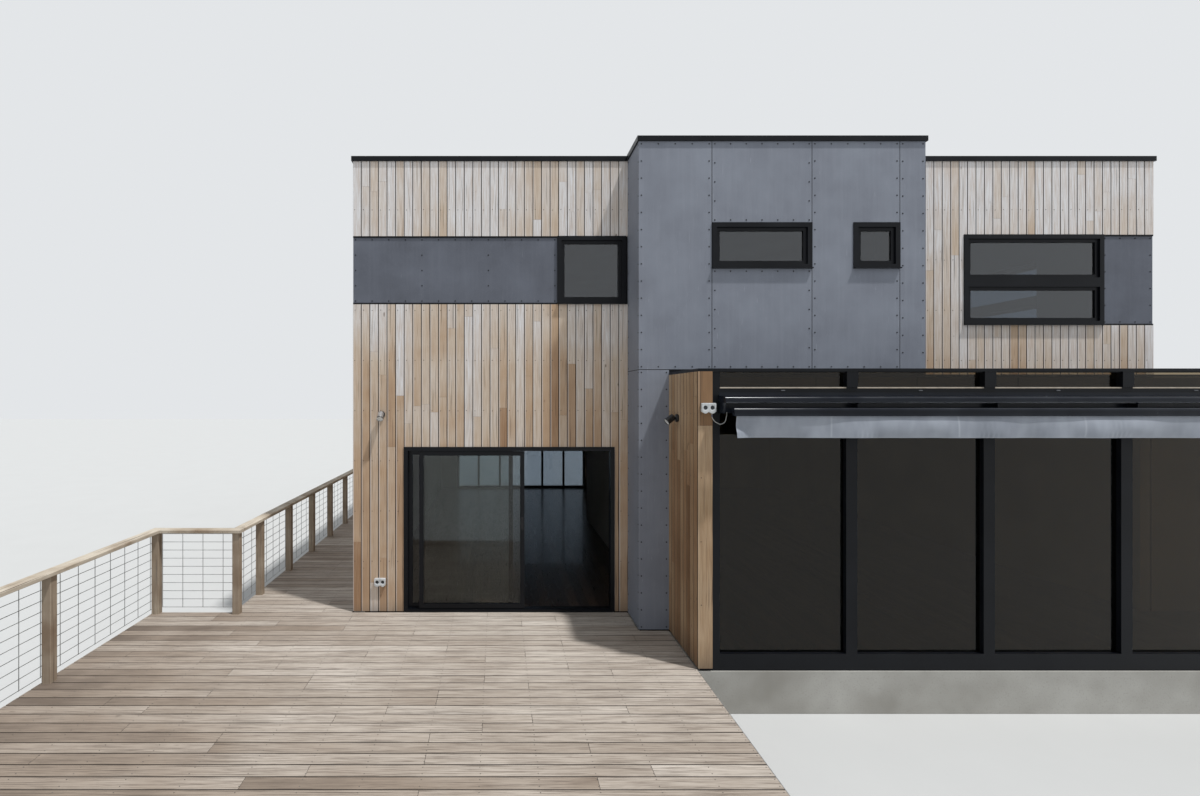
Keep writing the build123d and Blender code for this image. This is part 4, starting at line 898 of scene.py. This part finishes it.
def nail_rows(skin, span, levels, holes):
    """Where a nail shows in each board of a face."""
    found = []
    starts, width = columns_of(span)
    height = FLOOR_Z + NAIL_ROW
    while height < levels[1] - NAIL_CLEAR:
        for left in starts:
            u = left + NAIL_ACROSS * width + random.uniform(-0.002, 0.002)
            v = height + random.uniform(-0.004, 0.004)
            hidden = any(h[0] - 0.01 < u < h[1] + 0.01 and h[2] < v < h[3] for h in holes)
            if not hidden and v > levels[0] + NAIL_CLEAR:
                found.append(skin.at(u, v))
        height += NAIL_PITCH
    return found


def studs(name, template, places, material, slot):
    """Small heads of one kind, joined, at their places on the house."""
    points = points_of(template)
    piece = joined(name, template, [moved(points, place) for place in places])
    fit_out(wear(piece, material), slot)
    forget(template)


def crossing_holes(skin, span, levels):
    """What reaches through a face, as left, right, low, high."""
    inverse = skin.place.inverted()
    found = []
    for node in ("window_frames", "band_panels", "door_frame"):
        for box in solids(node):
            corners = np.sort([inverse @ corner for corner in box], axis=0)
            (u0, near, v0), (u1, far, v1) = corners.tolist()
            if near < BOARD_T and far > 0 and u1 > span[0] and u0 < span[1]:
                if v1 > levels[0] and v0 < levels[1]:
                    found.append((u0, u1, v0, v1))
    return found


def pavilion_faces(block_right):
    """The faces of the glazed room's two wings."""
    (low, high), (_, far) = solids("pavilion_boards")
    behind = low.y + BOARD_T
    front = Skin((0, low.y, 0), *SIDES["front"])
    faces = (
        (front, (low.x, high.x)),
        (front, (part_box("pavilion_frame")[1].x, far.x)),
        (Skin((low.x, 0, 0), *SIDES["left"]), (-high.y, -behind)),
        (Skin((far.x - NAIL_T, 0, 0), *SIDES["right"]), (behind, far.y)),
        (Skin((0, far.y, 0), *SIDES["back"]), (BOARD_T - far.x, -block_right)),
    )
    return [(skin, span, (low.z, high.z)) for skin, span in faces]


def house_boards():
    boards = [plank(BOARD_PITCH, BOARD_T, lip, BOARD_ARRIS) for lip in (BOARD_GROOVE, 0)]
    templates = [points_of(board) for board in boards]
    weathered = weathered_boards(
        "weathered_boards", (222, 221, 221), (204, 189, 172), (184, 157, 130), (148, 116, 88)
    )
    sheltered = weathered_boards(
        "sheltered_boards", (184, 162, 136), (164, 138, 108), (142, 111, 82), (108, 81, 57)
    )

    sides = sorted(solids("side_boards"), key=lambda box: box[0].x > 0)
    faces = {
        "front": [facing("front", *box) for box in solids("front_boards")],
        "side": [facing("left" if box[0].x < 0 else "right", *box) for box in sides],
        "back": [facing("back", *box) for box in solids("back_boards")],
        "pavilion": pavilion_faces(solids("front_boards")[-1][1].x),
    }
    nails = []
    for face, regions in faces.items():
        rows = ([], [])
        for skin, span, levels in regions:
            holes = crossing_holes(skin, span, levels)
            clad(rows, skin, templates, span, levels, holes)
            nails += nail_rows(skin, span, levels, holes)
        material = sheltered if face == "pavilion" else weathered
        board_piece(face + "_timber", rows, boards, material, "boards", face + "_boards")
    steel = moulded("nail_steel", (96, 88, 80), (58, 50, 44), 0.5, Metallic=0.6)
    studs("board_nails", button(NAIL_R, NAIL_T, 8, False), nails, steel, "steel")
    for board in boards:
        forget(board)


def deck_joints(rests):
    """The joists on which the lengths of one row meet."""
    found = []
    step = random.randint(0, DECK_SPANS[1])
    while step < len(rests) - 1:
        if step > 0:
            found.append(rests[step])
        step += random.randint(*DECK_SPANS)
    return found


def decking():
    size = DECK_PITCH - DECK_GAP
    under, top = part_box("deck_boards")
    board = plank(size, top.z - under.z, 0, DECK_ARRIS)
    template = points_of(board)
    joists = solids("deck_joists")
    rows = ([], [])
    screws = []
    for low, high in solids("deck_boards"):
        skin = Skin((0, 0, high.z), (0, -1, 0), (0, 0, -1), (1, 0, 0))
        depth = high.y - low.y + DECK_GAP
        count = round(depth / DECK_PITCH)
        rests = sorted(
            (a.x + b.x) / 2
            for a, b in joists
            if a.y < (low.y + high.y) / 2 < b.y + 0.7 and low.x - 0.05 < a.x < high.x
        )
        for column in range(count):
            left = -high.y + column * depth / count
            right = left + depth / count - DECK_GAP
            cuts = deck_joints(rests)
            for start, end in zip([low.x, *cuts], [*cuts, high.x]):
                bottom = start + (2 * BUTT_GAP if start in cuts else 0)
                points = board_points(template, skin, size, left, right, bottom, end)
                tone = np.full(len(points), random_tone(0.5, 0.11))
                rows[1].append((points, tone, template[:, 0] / size))
            for rest in rests:
                for u in (left + DECK_SCREW_INSET, right - DECK_SCREW_INSET):
                    screws.append(skin.at(u, rest + random.uniform(-0.004, 0.004)))
    board_piece("decking", rows, (board, board), weathered_decking(), "deck", "deck_boards")
    steel = moulded("deck_steel", (120, 116, 110), (84, 78, 72), 0.45, Metallic=0.7)
    studs("deck_screws", button(DECK_SCREW_R, SCREW_T / 2, 8, False), screws, steel, "steel")
    forget(board)


# Cement sheets
def spaced(start, end, pitch):
    """Even places from start to end, about a pitch apart."""
    steps = max(1, round((end - start) / pitch))
    return [start + (end - start) * i / steps for i in range(steps + 1)]


def box_screws(low, high, front):
    """Places round one sheet of the box, and on its side at a corner."""
    ends = spaced(low.x + SCREW_INSET, high.x - SCREW_INSET, SCREW_ROW_PITCH)
    levels = spaced(low.z + SCREW_INSET, high.z - SCREW_INSET, SCREW_PITCH)
    places = [front.at(u, v) for u in (ends[0], ends[-1]) for v in levels]
    if high.z > FLOOR_Z + UPPER_SHEETS:
        places += [front.at(u, v) for u in ends[1:-1] for v in (levels[0], levels[-1])]
    if high.y > 0:
        shown = high - Vector((0, SHEET_BURIED, 0))
        side, (u0, u1), _ = facing("left" if low.x < 0 else "right", low, shown)
        places += [side.at(u, v) for u in (u0 + SCREW_INSET, u1 - SCREW_INSET) for v in levels]
    return places


def band_screws(low, high):
    """Places round one sheet of the band, with two more rows on a long one."""
    if high.x - low.x > high.y - low.y:
        side = "front" if low.y < 1 else "back"
    else:
        side = "left" if low.x < 0 else "right"
    skin, (u0, u1), _ = facing(side, low, high)
    ends = spaced(u0 + SCREW_INSET, u1 - SCREW_INSET, BAND_SCREW_PITCH)
    levels = spaced(low.z + BAND_SCREW_INSET, high.z - BAND_SCREW_INSET, BAND_SCREW_PITCH)
    rows = [ends[0], ends[-1]]
    if u1 - u0 > LONG_SHEET:
        rows += [ends[len(ends) // 3], ends[-1 - len(ends) // 3]]
    places = [skin.at(u, v) for u in ends for v in (levels[0], levels[-1])]
    return places + [skin.at(u, v) for u in rows for v in levels[1:-1]]


def sheet_screws():
    """Screw heads along the edges of every cement sheet."""
    places = []
    front = Skin((0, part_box("box_panels")[0].y, 0), *SIDES["front"])
    for low, high in solids("box_panels"):
        places += box_screws(low, high, front)
    for low, high in solids("band_panels"):
        places += band_screws(low, high)
    black = moulded("black_screw", (30, 31, 34), (18, 18, 20), 0.4, Metallic=0.5)
    studs("sheet_screws", button(SCREW_R, SCREW_T, 10, True), places, black, "hardware")


def joint_between(first, second, axis):
    """A strip's corners in the joint of two sheets that meet along an axis."""
    (a_low, a_high), (b_low, b_high) = first, second
    low = Vector([max(p, q) for p, q in zip(a_low, b_low)])
    high = Vector([min(p, q) for p, q in zip(a_high, b_high)])
    other = 1 - axis
    apart = high[other] <= low[other] or high.z <= low.z
    if apart or not 0 < b_low[axis] - a_high[axis] < WIDEST_JOINT:
        return []
    low[axis], high[axis] = a_high[axis], b_low[axis]
    if a_low[other] < (1 if axis == 0 else 0):
        low[other] += SEAL_BACK
    else:
        high[other] -= SEAL_BACK
    return [(low, high)]


def joint_seals():
    """Black strips set back in the joints of the cement sheets."""
    gaps = []
    for node in ("box_panels", "band_panels"):
        for first, second in itertools.permutations(solids(node), 2):
            gaps += joint_between(first, second, 0) + joint_between(first, second, 1)
    (leg_low, leg_high), (above_low, _) = solids("box_panels")[:2]
    x, y = leg_low.x + SEAL_BACK, leg_low.y + SEAL_BACK
    back = leg_low.y + SHEET_T
    gaps.append(((x, y, leg_high.z), (leg_high.x, back, above_low.z)))
    gaps.append(((x, back, leg_high.z), (leg_low.x + SHEET_T, leg_high.y, above_low.z)))
    seals = merged("sheet_seals", [soften(block("seal", *gap), SEAL_ARRIS) for gap in gaps])
    wear(seals, moulded("seal_rubber", (9, 9, 10), (5, 5, 6), 0.7, gloss=0.1))
    fit_out(seals, "hardware")


# Fittings and the lead
def copy_of(node, name):
    """A CAD node's shape as a piece, its loose triangles joined up."""
    piece = linked(name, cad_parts[node].data.copy())
    select(piece)
    edit()
    bpy.ops.mesh.remove_doubles(threshold=0.00005)
    bpy.ops.mesh.dissolve_limited(angle_limit=0.01)
    done()
    piece.data.materials.clear()
    return piece


def rounded_off(piece, width):
    """Softens the sharp edges of a moulding and shades the rest smooth."""
    select(piece)
    bevel = piece.modifiers.new("bevel", "BEVEL")
    bevel.width = width
    bevel.segments = 2
    bevel.limit_method = "ANGLE"
    bevel.angle_limit = SHARP_ANGLE
    bpy.ops.object.modifier_apply(modifier=bevel.name)
    bpy.ops.object.shade_smooth_by_angle(angle=SHARP_ANGLE)


def fittings():
    """The two spotlights and the two double outlets."""
    black = moulded("light_black", (34, 35, 38), (22, 23, 25), 0.35)
    silver = moulded("light_silver", (196, 198, 200), (160, 162, 165), 0.28, Metallic=0.7)
    lens = moulded("light_lens", (226, 228, 226), (190, 193, 192), 0.12, Coat_Weight=0.6)
    white = moulded("outlet_white", (206, 208, 208), (178, 181, 183), 0.25, Coat_Weight=0.4)
    recess = moulded("outlet_recess", (52, 54, 58), (36, 38, 41), 0.5)
    copy_of("small_fittings", "fitting")
    edit()
    bpy.ops.mesh.separate(type="LOOSE")
    done()
    pieces = sorted(bpy.context.selected_objects, key=lambda piece: points_of(piece).min(axis=0).tolist())
    for piece, name in zip(pieces, ("outlet", "wall_light", "side_light", "corner_outlet")):
        points = points_of(piece)
        low, high = Vector(points.min(axis=0)), Vector(points.max(axis=0))
        rounded_off(piece, MOULDING_ARRIS)
        piece.name = name
        if "outlet" in name:
            outlet_finish(piece, low, (white, recess))
        elif name == "wall_light":
            foot = Vector(((low.x + high.x) / 2, high.y, high.z - SPOT_BASE_R))
            spot_finish(piece, foot, (0, -1, 0), (0, -1, -1), (black, silver, lens))
        else:
            foot = Vector((high.x, high.y - SPOT_BASE_R, high.z - SPOT_BASE_R))
            spot_finish(piece, foot, (-1, 0, 0), (-1, -0.2, -0.75), (black, black, lens))
        fit_out(piece, "fittings", "small_fittings")


def outlet_finish(piece, low, finishes):
    """A white outlet with its sockets' set-back faces grey."""
    wear(piece, *finishes)
    for face in piece.data.polygons:
        set_back = face.center.y > low.y + OUTLET_RECESS * 0.5
        face.material_index = int(set_back and face.normal.y < -0.9)


def spot_finish(piece, foot, outward, aim, finishes):
    """Black base and rim, the head's own finish, and a pale lens."""
    wear(piece, *finishes)
    outward, axis = Vector(outward), Vector(aim).normalized()
    middle = foot + outward * SPOT_REACH + axis * SPOT_LEAN
    for face in piece.data.polygons:
        away = face.center - middle
        forward = away.dot(axis)
        off = (away - axis * forward).length
        clear = (face.center - foot).dot(outward) > SPOT_BASE_T + 0.002
        if forward > 0.04 and face.normal.dot(axis) > 0.9 and off < SPOT_HEAD_R - 0.003:
            face.material_index = 2
        elif clear and forward < 0.039 and 0.03 < off < SPOT_HEAD_R + 0.001:
            face.material_index = 1


def lead():
    """The awning's short lead, with a blue sleeve at its plug end."""
    cable = copy_of("awning_lead", "awning_cable")
    bpy.ops.object.shade_smooth_by_angle(angle=math.radians(60))
    low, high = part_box("awning_lead")
    sleeve_z = high.z - SLEEVE_BELOW
    net = Material("cable_jacket", Roughness=0.4)
    x, y, z = net.split(net.place())
    near = net.calc("LESS_THAN", x, low.x + SLEEVE_REACH)
    upper = net.calc("GREATER_THAN", z, sleeve_z)
    sleeve = net.times(near, net.times(upper, net.calc("LESS_THAN", z, sleeve_z + SLEEVE_H)))
    jacket = net.mix(net.noise(net.place(), 60, 2, 0.5), (150, 150, 146), (190, 190, 186))
    wear(cable, net.shaded(net.mix(sleeve, jacket, (58, 96, 140))))
    fit_out(cable, "fittings", "awning_lead")


# The awning's front cloth
def valance():
    """One hung sheet with seams, slack waves and a turned corner."""
    low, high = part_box("awning_valance")
    width, height = high.x - low.x, high.z - low.z
    cells = {"x_subdivisions": round(width / CLOTH_CELL), "y_subdivisions": round(height / CLOTH_CELL)}
    middle = (low + high) / 2
    bpy.ops.mesh.primitive_grid_add(size=1, location=middle, rotation=(math.pi / 2, 0, 0), **cells)
    cloth = settled("valance_cloth", (width, height, 1))
    points = points_of(cloth)
    across, drop = points[:, 0] - low.x, (high.z - points[:, 2]) / height
    free = np.clip((drop - CLOTH_HELD) / (1 - CLOTH_HELD), 0, 1)
    seam = np.max([np.exp(-(((points[:, 0] - x) / SEAM_HALF) ** 4)) for x in CLOTH_SEAMS], axis=0)
    points[:, 1] -= slack(across, free) + SEAM_T * seam * (free > 0)
    points[:, 1] += corner_turn(across, free)
    cloth.data.vertices.foreach_set("co", points.ravel())
    foot, side = ((away / SEAM_HALF) ** 4 for away in ((1 - drop) * height, across))
    mark(cloth.data, "seam", seam)
    mark(cloth.data, "hem", np.maximum(np.exp(-foot), np.exp(-side)))
    shell = cloth.modifiers.new("thickness", "SOLIDIFY")
    shell.thickness = CLOTH_T
    bpy.ops.object.modifier_apply(modifier=shell.name)
    bpy.ops.object.shade_smooth()
    wear(cloth, awning_cloth("valance_cloth"))
    fit_out(cloth, "cloth", "awning_valance")


def slack(across, free):
    """How far the cloth bellies forwards, in waves and puckers."""
    long_wave = 0.011 * np.sin(across * 5.3 + free * 1.1 + 0.6)
    short_wave = 0.007 * np.sin(across * 13.1 - free * 1.6)
    pucker = np.zeros_like(across)
    for x in CLOTH_SEAMS:
        away = across - (x - CLOTH_SEAMS[0])
        fading = np.exp(-((away / 0.12) ** 2)) * np.sin(free * 5)
        pucker += 0.0022 * np.sin(away * 130 + free * 2) * fading
    belly = 0.012 * np.sin(np.pi * free) * (1 + 0.6 * np.sin(across * 3.3 + 1.9))
    belly = belly * np.clip(across / 1.2, 0, 1)
    return (long_wave + short_wave) * free**1.3 + pucker * free + belly


def corner_turn(across, free):
    """The left corner hangs back and is turned up along a slanting crease."""
    back = 0.085 * free**1.3 * np.clip(1 - across, 0, 1) ** 1.5
    crease = across - (CREASE_TOP + (CREASE_FOOT - CREASE_TOP) * free)
    ridge = -0.009 * np.exp(-((crease / 0.011) ** 2)) * np.clip(free * 3 - 0.6, 0, 1)
    turned_up = -0.55 * np.clip(-crease, 0, None) * np.clip(free * 2 - 0.5, 0, 1)
    return back + ridge + turned_up


# Trim of the glazed front
def glazed_front_trim():
    """A bead over each bay's transom, coloured pale as a painted highlight where light catches the
    transom's edge, with a weep cover under it.
    """
    beads, covers = [], []
    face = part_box("pavilion_frame")[0].y + MULLION_COVER
    for low, high in solids("pavilion_glass"):
        if low.z > FLOOR_Z + 1:
            bead = block("bead", (low.x, face - BEAD_PROUD, low.z - BEAD_H), (high.x, face, low.z))
            beads.append(soften(bead, 0.0008))
            left, z = (low.x + high.x - WEEP_W) / 2, low.z - WEEP_BELOW
            weep = (left, face - 2 * BEAD_PROUD, z - WEEP_H), (left + WEEP_W, face, z)
            covers.append(soften(block("cover", *weep), 0.0015, 2))
    # painted highlight: the beads' pale colour stands in for light caught along the black transom's edge
    pale = moulded("painted_highlight_bead", (190, 178, 160), (160, 148, 132), 0.45)
    grey = moulded("weep_cover", (112, 114, 118), (88, 90, 94), 0.4)
    fit_out(wear(merged("transom_highlight_beads", beads), pale), "dark_metal")
    fit_out(wear(merged("weep_covers", covers), grey), "dark_metal")


# Materials for the CAD nodes
def dress_nodes():
    dress(
        powder_coat("black_powder_coat", (8, 10, 15), (30, 33, 38)),
        "window_frames window_sashes door_frame fixed_sash sliding_sash pavilion_frame"
        " roof_cap pavilion_cap wall_flashings",
    )
    dress(
        powder_coat("awning_powder_coat", (15, 19, 27), (58, 62, 68), 0.18),
        "awning_hood awning_brackets awning_torsion_bar awning_arms awning_front_bar",
    )
    dress(powder_coat("primed_steel", (58, 58, 60), (90, 88, 84), 0.5), "living_beam")
    dress(moulded("door_hardware", (34, 34, 36), (22, 22, 24), 0.35, Metallic=0.4), "sliding_hardware")
    dress(cement_sheet("box_sheet", (127, 132, 142), (154, 157, 165), (110, 114, 124)), "box_panels")
    dress(cement_sheet("band_sheet", (98, 102, 112), (122, 126, 135), (78, 81, 90)), "band_panels")
    dress(glazing("clear_glass", (214, 219, 216), 1.4), "fixed_glass sliding_glass")
    dress(glazing("tinted_glass", (118, 130, 142), 1.8), "window_glass")
    dress(glazing("bronze_glass", (150, 134, 108), 1.34), "pavilion_glass")
    dress_walls()
    dress(mineral("cast_concrete", (172, 170, 164), (140, 137, 130), 60, 0.4, 0.85), "floor_slab")
    dress(roof_membrane(), "main_roof pavilion_roof")
    dress(floor_timber(), "timber_floor")
    dress(timber("post_timber", "Z", (186, 174, 156), (128, 110, 92), 0.4), "balustrade_posts")
    dress(handrail_timber(), "handrail")
    sawn, shaded = (150, 132, 108), (104, 88, 70)
    dress(timber("joist_timber", "Y", sawn, shaded, 0.2), "deck_joists")
    dress(timber("bearer_timber", "X", sawn, shaded, 0.2), "deck_bearers deck_ledgers")
    dress(timber("stump_timber", "Z", sawn, shaded, 0.2), "deck_stumps")
    dress(galvanised_steel(), "mesh_left mesh_walkway deck_trim")
    dress(awning_cloth("rolled_cloth"), "awning_roll")


def dress_walls():
    """Plaster on the walls, by the way that their covered side looks."""
    covered = {
        (0, -1, 0): "front_wall_beside_door front_wall_over_door front_wall_right"
        " box_front_wall box_leg box_side_walls pavilion_side_walls",
        (0, 1, 0): "pavilion_back_wall back_wall",
        (-1, 0, 0): "west_wall",
        (1, 0, 0): "east_wall",
        (0, 0, -1): "hall_wall",
        (0, 0, 2): "upper_floor",
    }
    for direction, names in covered.items():
        for name in names.split():
            dress(plaster("plaster_" + name, direction), name)


random.seed(11)
bpy.context.scene.view_settings.view_transform = "Standard"
add_camera()
add_light()
add_floor()
dress_nodes()
house_boards()
decking()
sheet_screws()
joint_seals()
fittings()
lead()
valance()
glazed_front_trim()
